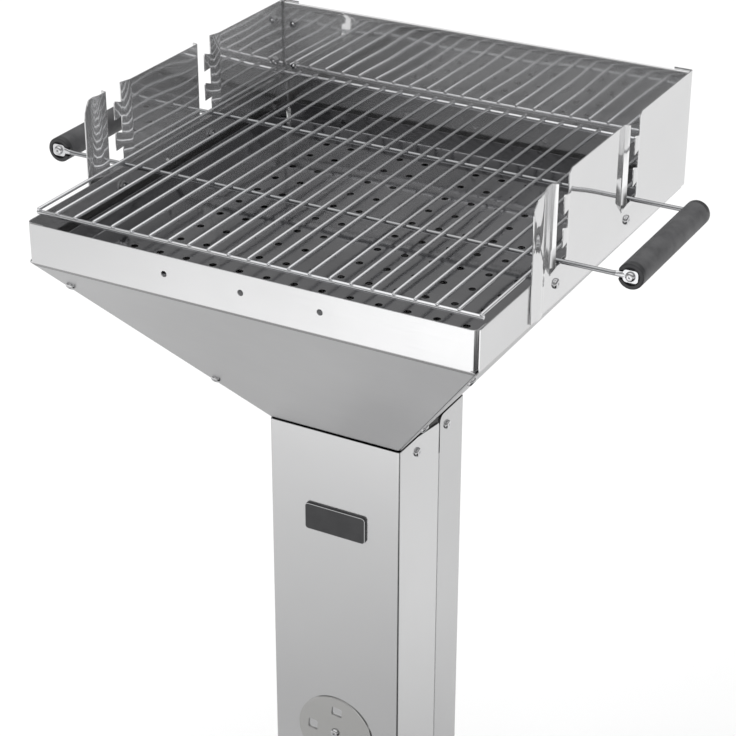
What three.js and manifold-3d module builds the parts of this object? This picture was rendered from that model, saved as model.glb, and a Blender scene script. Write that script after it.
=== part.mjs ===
// Column charcoal grill: a square trough on a funnel-shaped hopper and a hollow sheet-metal column,
// with a three-sided windshield, a grate that lifts in toothed slots and a rotary air vent.
// Millimetres, +Z up, front towards -Y, X across. The trough's centre is on the Z axis.

import * as THREE from 'three';
import { ConvexGeometry } from 'three/addons/geometries/ConvexGeometry.js';
import { mergeVertices } from 'three/addons/utils/BufferGeometryUtils.js';
import Module from 'manifold-3d';

const wasm = await Module();
wasm.setup();

// Sheet, fits and shared cuts
const SHEET = 1;
const BEND_RADIUS = 2;
const FIT_GAP = 0.3;
const HOLE_CLEARANCE = 0.3;
const OVERRUN = 5;
const MERGE_TOLERANCE = 0.0001;
const BEND_STEPS = 3;
const ROUND_STEPS = 4;
const FULL_TURN_DEG = 360;

// Trough and hopper
const TROUGH_WIDTH = 410;
const TROUGH_DEPTH = 410;
const RIM_HEIGHT = 766;
const TROUGH_WALL = 35;
const HOPPER_DROP = 178;
const NECK_LENGTH = 30;
const RETURN_LENGTH = 16;
const RETURN_RADIUS = 5;
const RETURN_LIFT = 1.5;
const WALL_EDGE_SETBACK = 3.5;
const SLOPE_EDGE_SETBACK = 1.5;
const FLANGE_WIDTH = 16;
const FLANGE_START = 13;
const FLANGE_END = 12;
const WALL_HOLE_DIAMETER = 5.2;
const WALL_HOLE_DROP = 15.8;
const WALL_HOLE_SHARE = 0.3463;

// Column
const COLUMN_WIDTH = 130;
const COLUMN_DEPTH = 122;
const FRONT_FLANK = 74;
const SEAM_GAP = 0.6;
const LAP_LENGTH = 14;
const LAP_RUN = 1.5;
const JOINT_LINE = 0.6;
const FLANK_EASE_LENGTH = 40;
const FLANK_EASE_DROP = 5.5;
const FLANK_CORNER = 7;
const COLUMN_FOOT_FLANGE = 22;

// Base plate and feet
const BASE_WIDTH = 300;
const BASE_DEPTH = 300;
const BASE_SKIRT = 22;
const BASE_CORNER_RELIEF = 2;
const FOOT_PROUD = 6;
const FOOT_TOP_DIAMETER = 24;
const FOOT_SOLE_DIAMETER = 30;
const FOOT_INSET = 26;
const FOOT_STUD_DIAMETER = 8;
const FOOT_CAP_DIAMETER = 12;
const FOOT_CAP_HEIGHT = 3;
const FOOT_SOLE_CHAMFER = 1.5;
const FOOT_SIDES = 12;
const BASE_SCREW_SPREAD = 80;

// Windshield
const SHIELD_RISE = 73.5;
const SHIELD_SKIRT = 32.5;
const SHIELD_SETBACK_SHARE = 0.217;
const SHIELD_CORNER = 16;
const SHIELD_FLANGE = 17;
const CROWN_LENGTH = 24;
const CROWN_RISE = 1.8;
const CROWN_STEPS = 6;
const REAR_DROP = 1.5;
const HEM_HEIGHT = 5;
const HEM_OPENING = 0.5;
const CORNER_SCREW_INSET = 11;
const CORNER_SCREW_LEVELS = [10, 51.6];

// Height slots in the windshield's sides
const ARM_SETBACK = 133.2;
const ARM_PITCH = 141;
const ARM_CLEARANCE = 1;
const CHANNEL_WIDTH = 8.3;
const TOOTH_COUNT = 2;
const TOOTH_DEPTH = 9.5;
const TOOTH_PITCH = 28;
const TOOTH_TIP_HEIGHT = 16.5;
const TOOTH_ROOT_HEIGHT = 12.5;
const TOOTH_UNDERCUT = 1.2;
const TOOTH_CHAMFER = 1.4;
const FIRST_TOOTH_RISE = 14.2;
const NOTCH_FLOOR = 0.9;
const NOTCH_FLAT = 6;
const FLOOR_CLIMB = 2.6;
const PRESS_RISE = 3;
const PRESS_FRONT = 11;
const PRESS_FRONT_RUN = 20;
const PRESS_REAR = 11.5;
const PRESS_FOOT = 7;
const PRESS_FOOT_RUN = 8;

// Charcoal tray
const TRAY_PLAY = 6;
const TRAY_RIM = 18;
const TRAY_COLUMNS = 13;
const TRAY_COLUMN_PITCH = 26;
const TRAY_ROWS = 11;
const TRAY_ROW_PITCH = 31;
const TRAY_HOLE_DIAMETER = 6.4;
const TRAY_HOLE_SIDES = 6;

// Cooking grate
const ROD_DIAMETER = 4;
const BAR_DIAMETER = 3;
const ROD_SIDES = 8;
const BAR_SIDES = 6;
const BAR_COUNT = 23;
const BAR_SIDE_GAP = 4.25;
const BAR_SETBACK = 12;
const BAR_REAR_GAP = 7.5;
const END_ROD_INSET = 2;
const ROD_OVERHANG = 2;
const WELD_SINK = 0.4;

// Grips and the arms' flattened ends
const GRIP_REACH = 63.5;
const GRIP_DIAMETER = 22;
const GRIP_EDGE = 2.5;
const GRIP_SIDES = 16;
const GRIP_BORE_DEPTH = 15;
const EYE_WIDTH = 12.6;
const EYE_HEIGHT = 10.4;
const EYE_CORNER = 3;
const EYE_THICKNESS = 2.5;
const EYE_LAP = 1.5;

// Air vent
const VENT_DROP = 532;
const VENT_DIAMETER = 78;
const VENT_THICKNESS = 1.2;
const VENT_SIDES = 32;
const VENT_WINDOWS = 4;
const WINDOW_RADIUS = 24;
const WINDOW_WIDTH = 11;
const WINDOW_HEIGHT = 10;
const WINDOW_CORNER = 2;
const VENT_TILT_DEG = 4;

// Screws and nuts
const SCREW_DIAMETER = 4;
const SCREW_HEAD_DIAMETER = 8.8;
const SCREW_HEAD_HEIGHT = 2.6;
const SCREW_SIDES = 8;
const SCREW_REACH = 7;
const TAPPING_TIP = 2;
const GRIP_SCREW_REACH = 14;
const GRIP_SCREW_HEAD = 8.2;
const NUT_WIDTH = 7;
const NUT_HEIGHT = 2.6;
const NUT_SIDES = 6;
const SCREW_PROUD = 0.6;

// Hopper corner screws, as distances down from the bend line and in from the panel's edge
const HOPPER_SCREW_DROPS = [23, 128];
const HOPPER_SCREW_INSET = 9;
const NECK_SCREW_DROP = 15;
const NECK_SCREW_SPREAD = 57;

// Colours and finishes
const STEEL = { color: 0xd3d4d6, roughness: 0.22, metalness: 1 };
const MIRROR_STEEL = { color: 0xdcdee0, roughness: 0.12, metalness: 1 };
const TRAY_STEEL = { color: 0x6e7073, roughness: 0.4, metalness: 1 };
const CHROME = { color: 0xe6e7e8, roughness: 0.1, metalness: 1 };
const FASTENER = { color: 0xb9bbbe, roughness: 0.25, metalness: 1 };
const BLACK_PLASTIC = { color: 0x2c2d2f, roughness: 0.55, metalness: 0 };
const RUBBER = { color: 0x1d1d1e, roughness: 0.8, metalness: 0 };

// Levels and faces worked out from the sizes above
const HALF_WIDTH = TROUGH_WIDTH / 2;
const HALF_DEPTH = TROUGH_DEPTH / 2;
const BAR_PITCH = (TROUGH_WIDTH - 2 * BAR_SIDE_GAP) / (BAR_COUNT - 1);
const BEND_Z = RIM_HEIGHT - TROUGH_WALL;
const NECK_Z = BEND_Z - HOPPER_DROP;
const NECK_HALF_WIDTH = COLUMN_WIDTH / 2 - SHEET - FIT_GAP;
const NECK_HALF_DEPTH = COLUMN_DEPTH / 2 - SHEET - FIT_GAP;
const BASE_TOP_Z = FOOT_PROUD + BASE_SKIRT + SHEET;
const COLUMN_TOP_Z = NECK_Z - JOINT_LINE;
const COLUMN_FRONT_Y = -COLUMN_DEPTH / 2;
const SEAM_Y = COLUMN_FRONT_Y + FRONT_FLANK;
const SHIELD_INNER_X = HALF_WIDTH + FIT_GAP;
const SHIELD_OUTER_X = SHIELD_INNER_X + SHEET;
const SHIELD_FRONT_Y = SHIELD_SETBACK_SHARE * TROUGH_DEPTH - HALF_DEPTH;
const SHIELD_TOP_Z = RIM_HEIGHT + SHIELD_RISE;
const SHIELD_BOTTOM_Z = RIM_HEIGHT - SHIELD_SKIRT;
const REAR_WALL_INNER_Y = HALF_DEPTH + FIT_GAP;
const REAR_WALL_OUTER_Y = REAR_WALL_INNER_Y + SHEET;
const FLANGE_INNER_Y = REAR_WALL_OUTER_Y + FIT_GAP;
const FLANGE_OUTER_Y = FLANGE_INNER_Y + SHEET;
const ARM_YS = [ARM_SETBACK - HALF_DEPTH, ARM_SETBACK + ARM_PITCH - HALF_DEPTH];
const HOLE_RADIUS = SCREW_DIAMETER / 2 + HOLE_CLEARANCE;
const ROD_RADIUS = ROD_DIAMETER / 2;
const BAR_RADIUS = BAR_DIAMETER / 2;
const TOOTH_TIP_OFFSET = ROD_RADIUS + ARM_CLEARANCE;
const CHANNEL_OFFSET = TOOTH_TIP_OFFSET - CHANNEL_WIDTH;

const X_AXIS = new THREE.Vector3(1, 0, 0);
const Y_AXIS = new THREE.Vector3(0, 1, 0);
const Z_AXIS = new THREE.Vector3(0, 0, 1);

// Solids

function solidFrom(geometry) {
  const bare = geometry.clone();
  bare.deleteAttribute('normal');
  bare.deleteAttribute('uv');
  const merged = mergeVertices(bare, MERGE_TOLERANCE);
  const vertProperties = new Float32Array(merged.attributes.position.array);
  const triVerts = new Uint32Array(merged.index.array);
  return new wasm.Manifold(new wasm.Mesh({ numProp: 3, vertProperties, triVerts }));
}

function geometryFrom(solid) {
  const mesh = solid.getMesh();
  const indexed = new THREE.BufferGeometry();
  indexed.setAttribute('position', new THREE.BufferAttribute(mesh.vertProperties, 3));
  indexed.setIndex(new THREE.BufferAttribute(mesh.triVerts, 1));
  const geometry = indexed.toNonIndexed();
  geometry.computeVertexNormals();
  return geometry;
}

// A prism along one axis. Its outline is in (y, z) for 'x', (x, z) for 'y' and (x, y) for 'z'.
function prism(axis, outline, from, to, holes = []) {
  const shape = new THREE.Shape(outline.map(([u, v]) => new THREE.Vector2(u, v)));
  shape.holes = holes.map((hole) => new THREE.Path(hole.map(([u, v]) => new THREE.Vector2(u, v))));
  const geometry = new THREE.ExtrudeGeometry(shape, { depth: to - from, bevelEnabled: false });
  if (axis === 'x') {
    geometry.applyMatrix4(new THREE.Matrix4().makeBasis(Y_AXIS, Z_AXIS, X_AXIS));
    geometry.translate(from, 0, 0);
  } else if (axis === 'y') {
    geometry.applyMatrix4(new THREE.Matrix4().makeBasis(X_AXIS, Z_AXIS, Y_AXIS.clone().negate()));
    geometry.translate(0, to, 0);
  } else {
    geometry.translate(0, 0, from);
  }
  return solidFrom(geometry);
}

function block([x0, x1], [y0, y1], [z0, z1]) {
  const geometry = new THREE.BoxGeometry(x1 - x0, y1 - y0, z1 - z0);
  geometry.translate((x0 + x1) / 2, (y0 + y1) / 2, (z0 + z1) / 2);
  return solidFrom(geometry);
}

// A round rod between two points, with a flat side facing up when it lies level.
function rod(radius, start, end, sides) {
  const geometry = new THREE.CylinderGeometry(radius, radius, start.distanceTo(end), sides);
  geometry.rotateY(Math.PI / sides);
  const direction = end.clone().sub(start).normalize();
  geometry.applyQuaternion(new THREE.Quaternion().setFromUnitVectors(Y_AXIS, direction));
  const middle = start.clone().add(end).multiplyScalar(1 / 2);
  geometry.translate(middle.x, middle.y, middle.z);
  return solidFrom(geometry);
}

// A drilled hole through whatever lies within the overrun on both sides of a point.
function drill(radius, point, direction) {
  const reach = direction.clone().multiplyScalar(OVERRUN);
  const toCorner = radius / Math.cos(Math.PI / SCREW_SIDES);
  return rod(toCorner, point.clone().sub(reach), point.clone().add(reach), SCREW_SIDES);
}

// Bent sheet: a line of corners [u, v, bend radius], thickened to the left of its run.
function bentStrip(corners, thickness) {
  const line = [];
  corners.forEach(([u, v, radius = 0], index) => {
    const point = new THREE.Vector2(u, v);
    const before = index > 0 ? towards(corners[index - 1], corners[index]) : null;
    const after = index < corners.length - 1 ? towards(corners[index], corners[index + 1]) : null;
    if (!before || !after) {
      line.push({ point, offset: leftOf(before || after) });
      return;
    }
    const turn = Math.atan2(before.cross(after), before.dot(after));
    if (radius === 0) {
      const offset = leftOf(before).add(leftOf(after)).divideScalar(1 + before.dot(after));
      line.push({ point, offset });
      return;
    }
    const tangent = radius * Math.tan(Math.abs(turn) / 2);
    const start = point.clone().addScaledVector(before, -tangent);
    const side = Math.sign(turn);
    const centre = start.clone().addScaledVector(leftOf(before), side * radius);
    for (let step = 0; step <= BEND_STEPS; step += 1) {
      const angle = (turn * step) / BEND_STEPS;
      const offset = leftOf(before).rotateAround(new THREE.Vector2(), angle);
      const onArc = centre.clone().addScaledVector(offset, -side * radius);
      line.push({ point: onArc, offset });
    }
  });
  const face = line.map(({ point }) => [point.x, point.y]);
  const back = line.map(({ point, offset }) => point.clone().addScaledVector(offset, thickness));
  return face.concat(back.reverse().map(({ x, y }) => [x, y]));
}

function towards([u0, v0], [u1, v1]) {
  return new THREE.Vector2(u1 - u0, v1 - v0).normalize();
}

function leftOf(direction) {
  return new THREE.Vector2(-direction.y, direction.x);
}

function roundedRectangle(width, height, corner, centre, turn) {
  const outline = [];
  for (const [sideU, sideV, start] of [[1, 1, 0], [-1, 1, 1], [-1, -1, 2], [1, -1, 3]]) {
    for (let step = 0; step <= ROUND_STEPS / 2; step += 1) {
      const angle = ((start + step / (ROUND_STEPS / 2)) * Math.PI) / 2;
      const u = sideU * (width / 2 - corner) + corner * Math.cos(angle);
      const v = sideV * (height / 2 - corner) + corner * Math.sin(angle);
      const point = new THREE.Vector2(u, v).rotateAround(new THREE.Vector2(), turn);
      outline.push([centre[0] + point.x, centre[1] + point.y]);
    }
  }
  return outline;
}

function circle(radius, sides, centre = [0, 0]) {
  return Array.from({ length: sides }, (unused, index) => {
    const angle = ((index + 1 / 2) / sides) * 2 * Math.PI;
    return [centre[0] + radius * Math.cos(angle), centre[1] + radius * Math.sin(angle)];
  });
}

// A round hole's outline, with its flats at the radius.
function bore(radius, centre = [0, 0]) {
  return circle(radius / Math.cos(Math.PI / SCREW_SIDES), SCREW_SIDES, centre);
}

// Scene assembly

const grill = new THREE.Group();

function addPart(name, solid, finish, parent = grill) {
  const mesh = new THREE.Mesh(geometryFrom(solid), new THREE.MeshStandardMaterial(finish));
  mesh.name = name;
  parent.add(mesh);
  return mesh;
}

function addTurned(name, solid, finish, point, direction) {
  const mesh = addPart(name, solid, finish);
  mesh.position.copy(point);
  mesh.quaternion.setFromUnitVectors(Z_AXIS, direction);
  return mesh;
}

// Fasteners, with the seat of the head or nut at the origin and the head towards +Z

function panScrew(reach, headDiameter = SCREW_HEAD_DIAMETER) {
  const headRadius = headDiameter / 2;
  const domeShares = [[0, 1], [0.6, 0.86], [1, 0.3], [1, 0]];
  const dome = domeShares.map(([across, up]) => [across * headRadius, up * SCREW_HEAD_HEIGHT]);
  const shank = SCREW_DIAMETER / 2;
  const profile = dome.concat([[shank, 0], [shank, TAPPING_TIP - reach], [0, -reach]]);
  const points = profile.reverse().map(([radius, z]) => new THREE.Vector2(radius, z));
  const geometry = new THREE.LatheGeometry(points, SCREW_SIDES);
  geometry.rotateX(Math.PI / 2);
  return solidFrom(geometry);
}

function hexNut() {
  const outside = circle(NUT_WIDTH / 2 / Math.cos(Math.PI / NUT_SIDES), NUT_SIDES);
  return prism('z', outside, 0, NUT_HEIGHT, [bore(HOLE_RADIUS)]);
}

// Base plate, feet and column

function basePlate() {
  const halfWidth = BASE_WIDTH / 2;
  const halfDepth = BASE_DEPTH / 2;
  const relief = BEND_RADIUS + BASE_CORNER_RELIEF;
  const channel = (half) => bentStrip(
    [
      [half, FOOT_PROUD],
      [half, BASE_TOP_Z, BEND_RADIUS],
      [-half, BASE_TOP_Z, BEND_RADIUS],
      [-half, FOOT_PROUD],
    ],
    SHEET,
  );
  let plate = prism('y', channel(halfWidth), relief - halfDepth, halfDepth - relief);
  plate = plate.add(prism('x', channel(halfDepth), relief - halfWidth, halfWidth - relief));
  for (const point of footPlaces()) {
    plate = plate.subtract(drill(FOOT_STUD_DIAMETER / 2 + HOLE_CLEARANCE, point, Z_AXIS));
  }
  for (const point of baseScrewPlaces()) {
    plate = plate.subtract(drill(HOLE_RADIUS, point, Z_AXIS));
  }
  return plate;
}

function footPlaces() {
  const x = BASE_WIDTH / 2 - FOOT_INSET;
  const y = BASE_DEPTH / 2 - FOOT_INSET;
  const z = BASE_TOP_Z - SHEET;
  return [[-x, -y], [x, -y], [-x, y], [x, y]].map(([px, py]) => new THREE.Vector3(px, py, z));
}

// A rubber foot with a push-in stud: its seat under the plate is at the origin.
function foot() {
  const height = FOOT_PROUD + BASE_SKIRT;
  const stud = FOOT_STUD_DIAMETER / 2;
  const capFoot = SHEET + FIT_GAP;
  const profile = [
    [0, -height],
    [FOOT_SOLE_DIAMETER / 2 - FOOT_SOLE_CHAMFER, -height],
    [FOOT_SOLE_DIAMETER / 2, FOOT_SOLE_CHAMFER - height],
    [FOOT_TOP_DIAMETER / 2, 0],
    [stud, 0],
    [stud, capFoot],
    [FOOT_CAP_DIAMETER / 2, capFoot],
    [stud, capFoot + FOOT_CAP_HEIGHT],
    [0, capFoot + FOOT_CAP_HEIGHT],
  ];
  const points = profile.map(([radius, z]) => new THREE.Vector2(radius, z));
  const geometry = new THREE.LatheGeometry(points, FOOT_SIDES);
  geometry.rotateX(Math.PI / 2);
  return solidFrom(geometry);
}

function baseScrewPlaces() {
  const x = BASE_SCREW_SPREAD / 2;
  const y = COLUMN_DEPTH / 2 - SHEET - COLUMN_FOOT_FLANGE / 2;
  const z = BASE_TOP_Z - SHEET;
  return [[-x, -y], [x, -y], [-x, y], [x, y]].map(([px, py]) => new THREE.Vector3(px, py, z));
}

function ventWindow(angle, centre) {
  const place = [centre[0] + WINDOW_RADIUS * Math.sin(angle), centre[1] + WINDOW_RADIUS * Math.cos(angle)];
  return roundedRectangle(WINDOW_WIDTH, WINDOW_HEIGHT, WINDOW_CORNER, place, -angle);
}

function windowAngles(start) {
  const step = (2 * Math.PI) / VENT_WINDOWS;
  return Array.from({ length: VENT_WINDOWS }, (unused, index) => start + index * step);
}

const VENT_CENTRE_Z = RIM_HEIGHT - VENT_DROP;
const VENT_TILT = THREE.MathUtils.degToRad(VENT_TILT_DEG);

// Drops a column half's foot flange onto the base plate, inside the wall.
function footFlange(wallY) {
  const side = Math.sign(wallY);
  const span = [wallY, wallY - side * COLUMN_FOOT_FLANGE].sort((a, b) => a - b);
  const halfWidth = COLUMN_WIDTH / 2 - SHEET - FIT_GAP;
  return block([-halfWidth, halfWidth], span, [BASE_TOP_Z, BASE_TOP_Z + SHEET]);
}

function columnFront() {
  const half = COLUMN_WIDTH / 2;
  const edgeY = SEAM_Y - SEAM_GAP / 2;
  const plan = bentStrip(
    [
      [-half, edgeY],
      [-half, COLUMN_FRONT_Y, BEND_RADIUS],
      [half, COLUMN_FRONT_Y, BEND_RADIUS],
      [half, edgeY],
    ],
    SHEET,
  );
  const easeY = edgeY - FLANK_EASE_LENGTH;
  const sideView = [
    [COLUMN_FRONT_Y - OVERRUN, BASE_TOP_Z],
    [edgeY + OVERRUN, BASE_TOP_Z],
    [edgeY + OVERRUN, COLUMN_TOP_Z - FLANK_EASE_DROP],
    [edgeY, COLUMN_TOP_Z - FLANK_EASE_DROP],
    [easeY, COLUMN_TOP_Z],
    [COLUMN_FRONT_Y - OVERRUN, COLUMN_TOP_Z],
  ];
  let shell = prism('z', plan, BASE_TOP_Z, COLUMN_TOP_Z);
  shell = shell.intersect(prism('x', sideView, -COLUMN_WIDTH, COLUMN_WIDTH));
  shell = shell.add(footFlange(COLUMN_FRONT_Y + SHEET / 2));
  for (const angle of windowAngles(Math.PI / VENT_WINDOWS)) {
    const opening = ventWindow(angle, [0, VENT_CENTRE_Z]);
    shell = shell.subtract(prism('y', opening, COLUMN_FRONT_Y - OVERRUN, COLUMN_FRONT_Y + OVERRUN));
  }
  const ventHub = new THREE.Vector3(0, COLUMN_FRONT_Y, VENT_CENTRE_Z);
  return drilledColumn(shell.subtract(drill(HOLE_RADIUS, ventHub, Y_AXIS)));
}

function columnRear() {
  const half = COLUMN_WIDTH / 2;
  const rearY = COLUMN_DEPTH / 2;
  const edgeY = SEAM_Y + SEAM_GAP / 2;
  const lapX = half - SHEET - FIT_GAP;
  const flankY = edgeY + LAP_RUN;
  const rightFlank = [[lapX, edgeY - LAP_LENGTH], [lapX, edgeY], [half, flankY]];
  const leftFlank = rightFlank.map(([x, y]) => [-x, y]).reverse();
  const plan = bentStrip(
    [...rightFlank, [half, rearY, BEND_RADIUS], [-half, rearY, BEND_RADIUS], ...leftFlank],
    SHEET,
  );
  const corner = Array.from({ length: ROUND_STEPS + 1 }, (unused, step) => {
    const angle = (step / ROUND_STEPS) * (Math.PI / 2);
    const y = flankY + FLANK_CORNER * (1 - Math.sin(angle));
    return [y, COLUMN_TOP_Z - FLANK_CORNER * (1 - Math.cos(angle))];
  });
  const lapY = edgeY - LAP_LENGTH - OVERRUN;
  const lapTopZ = COLUMN_TOP_Z - FLANK_CORNER - NECK_LENGTH;
  const lapFootZ = BASE_TOP_Z + SHEET + FIT_GAP;
  const sideView = [
    [rearY + OVERRUN, BASE_TOP_Z],
    [rearY + OVERRUN, COLUMN_TOP_Z],
    ...corner,
    [flankY, lapTopZ],
    [lapY, lapTopZ],
    [lapY, lapFootZ],
    [flankY, lapFootZ],
    [flankY, BASE_TOP_Z],
  ];
  let shell = prism('z', plan, BASE_TOP_Z, COLUMN_TOP_Z);
  shell = shell.intersect(prism('x', sideView, -COLUMN_WIDTH, COLUMN_WIDTH));
  return drilledColumn(shell.add(footFlange(rearY - SHEET / 2)));
}

function neckScrewPlaces() {
  const z = NECK_Z - NECK_SCREW_DROP;
  const places = [];
  for (const side of [-1, 1]) {
    for (const end of [-1, 1]) {
      places.push(new THREE.Vector3((side * COLUMN_WIDTH) / 2, (end * NECK_SCREW_SPREAD) / 2, z));
    }
  }
  return places;
}

function drilledColumn(shell) {
  const holes = neckScrewPlaces().map((point) => drill(HOLE_RADIUS, point, X_AXIS));
  const feet = baseScrewPlaces().map((point) => drill(HOLE_RADIUS, point, Z_AXIS));
  return holes.concat(feet).reduce((rest, hole) => rest.subtract(hole), shell);
}

// Hopper: each panel is a trough wall, a sloping face and a neck that stands inside the column.
// Its left edge is plain and laps over the return and flange on its neighbour's right edge.

function slopeAt(topHalf, neckHalf, z) {
  return topHalf + ((neckHalf - topHalf) * (BEND_Z - z)) / HOPPER_DROP;
}

// How far a sloping face moves sideways when it is set back by a distance at right angles to itself.
function slopeShift(topHalf, neckHalf, distance) {
  return distance * Math.hypot(1, (topHalf - neckHalf) / HOPPER_DROP);
}

// One panel, facing the front: its wall lies wallHalf from the axis and is 2 * spanHalf wide.
function hopperPanel({ wallHalf, neckWallHalf, spanHalf, neckSpanHalf }) {
  const profile = bentStrip(
    [
      [-wallHalf, RIM_HEIGHT],
      [-wallHalf, BEND_Z, BEND_RADIUS],
      [-neckWallHalf, NECK_Z, BEND_RADIUS],
      [-neckWallHalf, NECK_Z - NECK_LENGTH],
    ],
    SHEET,
  );
  const tuck = slopeShift(spanHalf, neckSpanHalf, SHEET + FIT_GAP);
  const neckEdge = neckSpanHalf - SHEET - FIT_GAP;
  const returnX = spanHalf - SHEET - FIT_GAP;
  const flatX = returnX - RETURN_RADIUS;
  const returnZ = BEND_Z + RETURN_LIFT;
  const frontView = [
    [neckEdge, NECK_Z - NECK_LENGTH],
    [neckEdge, NECK_Z],
    [neckSpanHalf - tuck, NECK_Z],
    [spanHalf - tuck, BEND_Z],
    [flatX, returnZ],
    [flatX, RIM_HEIGHT],
    [WALL_EDGE_SETBACK - spanHalf, RIM_HEIGHT],
    [WALL_EDGE_SETBACK - spanHalf, returnZ],
    [SLOPE_EDGE_SETBACK - spanHalf, BEND_Z],
    [SLOPE_EDGE_SETBACK - neckSpanHalf, NECK_Z],
    [-neckEdge, NECK_Z],
    [-neckEdge, NECK_Z - NECK_LENGTH],
  ];
  let panel = prism('x', profile, -spanHalf, spanHalf);
  panel = panel.intersect(prism('y', frontView, -TROUGH_DEPTH, 0));
  const wallReturn = bentStrip(
    [
      [returnX - RETURN_LENGTH, -wallHalf],
      [returnX, -wallHalf, RETURN_RADIUS],
      [returnX, RETURN_LENGTH - wallHalf],
    ],
    SHEET,
  );
  panel = panel.add(prism('z', wallReturn, returnZ, RIM_HEIGHT));
  panel = panel.add(cornerFlange(wallHalf, neckWallHalf, spanHalf, neckSpanHalf));
  for (const step of [-1, 0, 1]) {
    const x = step * WALL_HOLE_SHARE * spanHalf;
    const place = new THREE.Vector3(x, -wallHalf, RIM_HEIGHT - WALL_HOLE_DROP);
    panel = panel.subtract(drill(WALL_HOLE_DIAMETER / 2, place, Y_AXIS));
  }
  return panel;
}

// The flange on a panel's right edge, which lies behind the neighbour's sloping face.
function cornerFlange(wallHalf, neckWallHalf, spanHalf, neckSpanHalf) {
  const topZ = BEND_Z - FLANGE_START;
  const footZ = NECK_Z + FLANGE_END;
  const outer = slopeShift(spanHalf, neckSpanHalf, SHEET + FIT_GAP);
  const inner = slopeShift(spanHalf, neckSpanHalf, SHEET + FIT_GAP + SHEET);
  const xAt = (z, shift) => slopeAt(spanHalf, neckSpanHalf, z) - shift;
  const section = [
    [xAt(footZ, outer), footZ],
    [xAt(topZ, outer), topZ],
    [xAt(topZ, inner), topZ],
    [xAt(footZ, inner), footZ],
  ];
  const skin = slopeShift(wallHalf, neckWallHalf, SHEET / 2);
  const yAt = (z, inset) => inset + skin - slopeAt(wallHalf, neckWallHalf, z);
  const band = [
    [yAt(footZ, 0), footZ],
    [yAt(topZ, 0), topZ],
    [yAt(topZ, FLANGE_WIDTH), topZ],
    [yAt(footZ, FLANGE_WIDTH), footZ],
  ];
  return prism('y', section, -TROUGH_DEPTH, 0).intersect(prism('x', band, 0, TROUGH_WIDTH));
}

const FRONT_PANEL = {
  wallHalf: HALF_DEPTH,
  neckWallHalf: NECK_HALF_DEPTH,
  spanHalf: HALF_WIDTH,
  neckSpanHalf: NECK_HALF_WIDTH,
};
const SIDE_PANEL = {
  wallHalf: HALF_WIDTH,
  neckWallHalf: NECK_HALF_WIDTH,
  spanHalf: HALF_DEPTH,
  neckSpanHalf: NECK_HALF_DEPTH,
};

// The four sides in the order of quarter turns from the front, seen from above.
const HOPPER_SIDES = [
  { side: 'front', turns: 0, panel: FRONT_PANEL },
  { side: 'right', turns: 1, panel: SIDE_PANEL },
  { side: 'rear', turns: 2, panel: FRONT_PANEL },
  { side: 'left', turns: 3, panel: SIDE_PANEL },
];

// Screws at right angles to the sloping face, two near each panel's plain edge.
function hopperScrewPlaces() {
  return HOPPER_SIDES.flatMap(({ side, turns, panel }) => HOPPER_SCREW_DROPS.map((drop, index) => {
    const z = BEND_Z - drop;
    const x = HOPPER_SCREW_INSET - slopeAt(panel.spanHalf, panel.neckSpanHalf, z);
    const point = new THREE.Vector3(x, -slopeAt(panel.wallHalf, panel.neckWallHalf, z), z);
    const outward = new THREE.Vector3(0, -HOPPER_DROP, panel.neckWallHalf - panel.wallHalf).normalize();
    const quarter = (turns * Math.PI) / 2;
    point.applyAxisAngle(Z_AXIS, quarter);
    outward.applyAxisAngle(Z_AXIS, quarter);
    return { name: `hopper_screw_${side}_${index === 0 ? 'upper' : 'lower'}`, point, outward };
  }));
}

function drilledHopper(solid) {
  let rest = solid;
  for (const { point, outward } of hopperScrewPlaces()) {
    rest = rest.subtract(drill(HOLE_RADIUS, point, outward));
  }
  for (const point of neckScrewPlaces()) {
    rest = rest.subtract(drill(HOLE_RADIUS, point, X_AXIS));
  }
  return rest;
}

// Windshield

function shieldScrewPlace(end) {
  return new THREE.Vector3(HALF_WIDTH, end * WALL_HOLE_SHARE * HALF_DEPTH, RIM_HEIGHT - WALL_HOLE_DROP);
}

function cornerScrewPlaces() {
  const places = [];
  for (const side of [-1, 1]) {
    for (const level of CORNER_SCREW_LEVELS) {
      const x = side * (HALF_WIDTH - CORNER_SCREW_INSET);
      places.push(new THREE.Vector3(x, REAR_WALL_OUTER_Y, RIM_HEIGHT + level));
    }
  }
  return places;
}

// One height slot as a cutting outline in (y, z): a free channel in front of forward-facing teeth.
function slotOutline(armY) {
  const frontY = armY + CHANNEL_OFFSET;
  const tipY = armY + TOOTH_TIP_OFFSET;
  const rootY = tipY + TOOTH_DEPTH;
  const floorZ = RIM_HEIGHT + NOTCH_FLOOR;
  const outline = [
    [frontY, SHIELD_TOP_Z + OVERRUN],
    [frontY, floorZ + FLOOR_CLIMB],
    [rootY - NOTCH_FLAT, floorZ],
    [rootY, floorZ],
  ];
  for (let tooth = 0; tooth < TOOTH_COUNT; tooth += 1) {
    const tipZ = RIM_HEIGHT + FIRST_TOOTH_RISE + tooth * TOOTH_PITCH;
    const tipTopZ = tipZ + TOOTH_TIP_HEIGHT;
    outline.push([rootY, tipZ + TOOTH_UNDERCUT]);
    outline.push([tipY, tipZ]);
    outline.push([tipY, tipTopZ - TOOTH_CHAMFER]);
    outline.push([tipY + TOOTH_CHAMFER, tipTopZ]);
    outline.push([rootY, tipZ + TOOTH_UNDERCUT + TOOTH_ROOT_HEIGHT]);
  }
  outline.push([rootY, SHIELD_TOP_Z + OVERRUN]);
  return outline;
}

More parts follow.
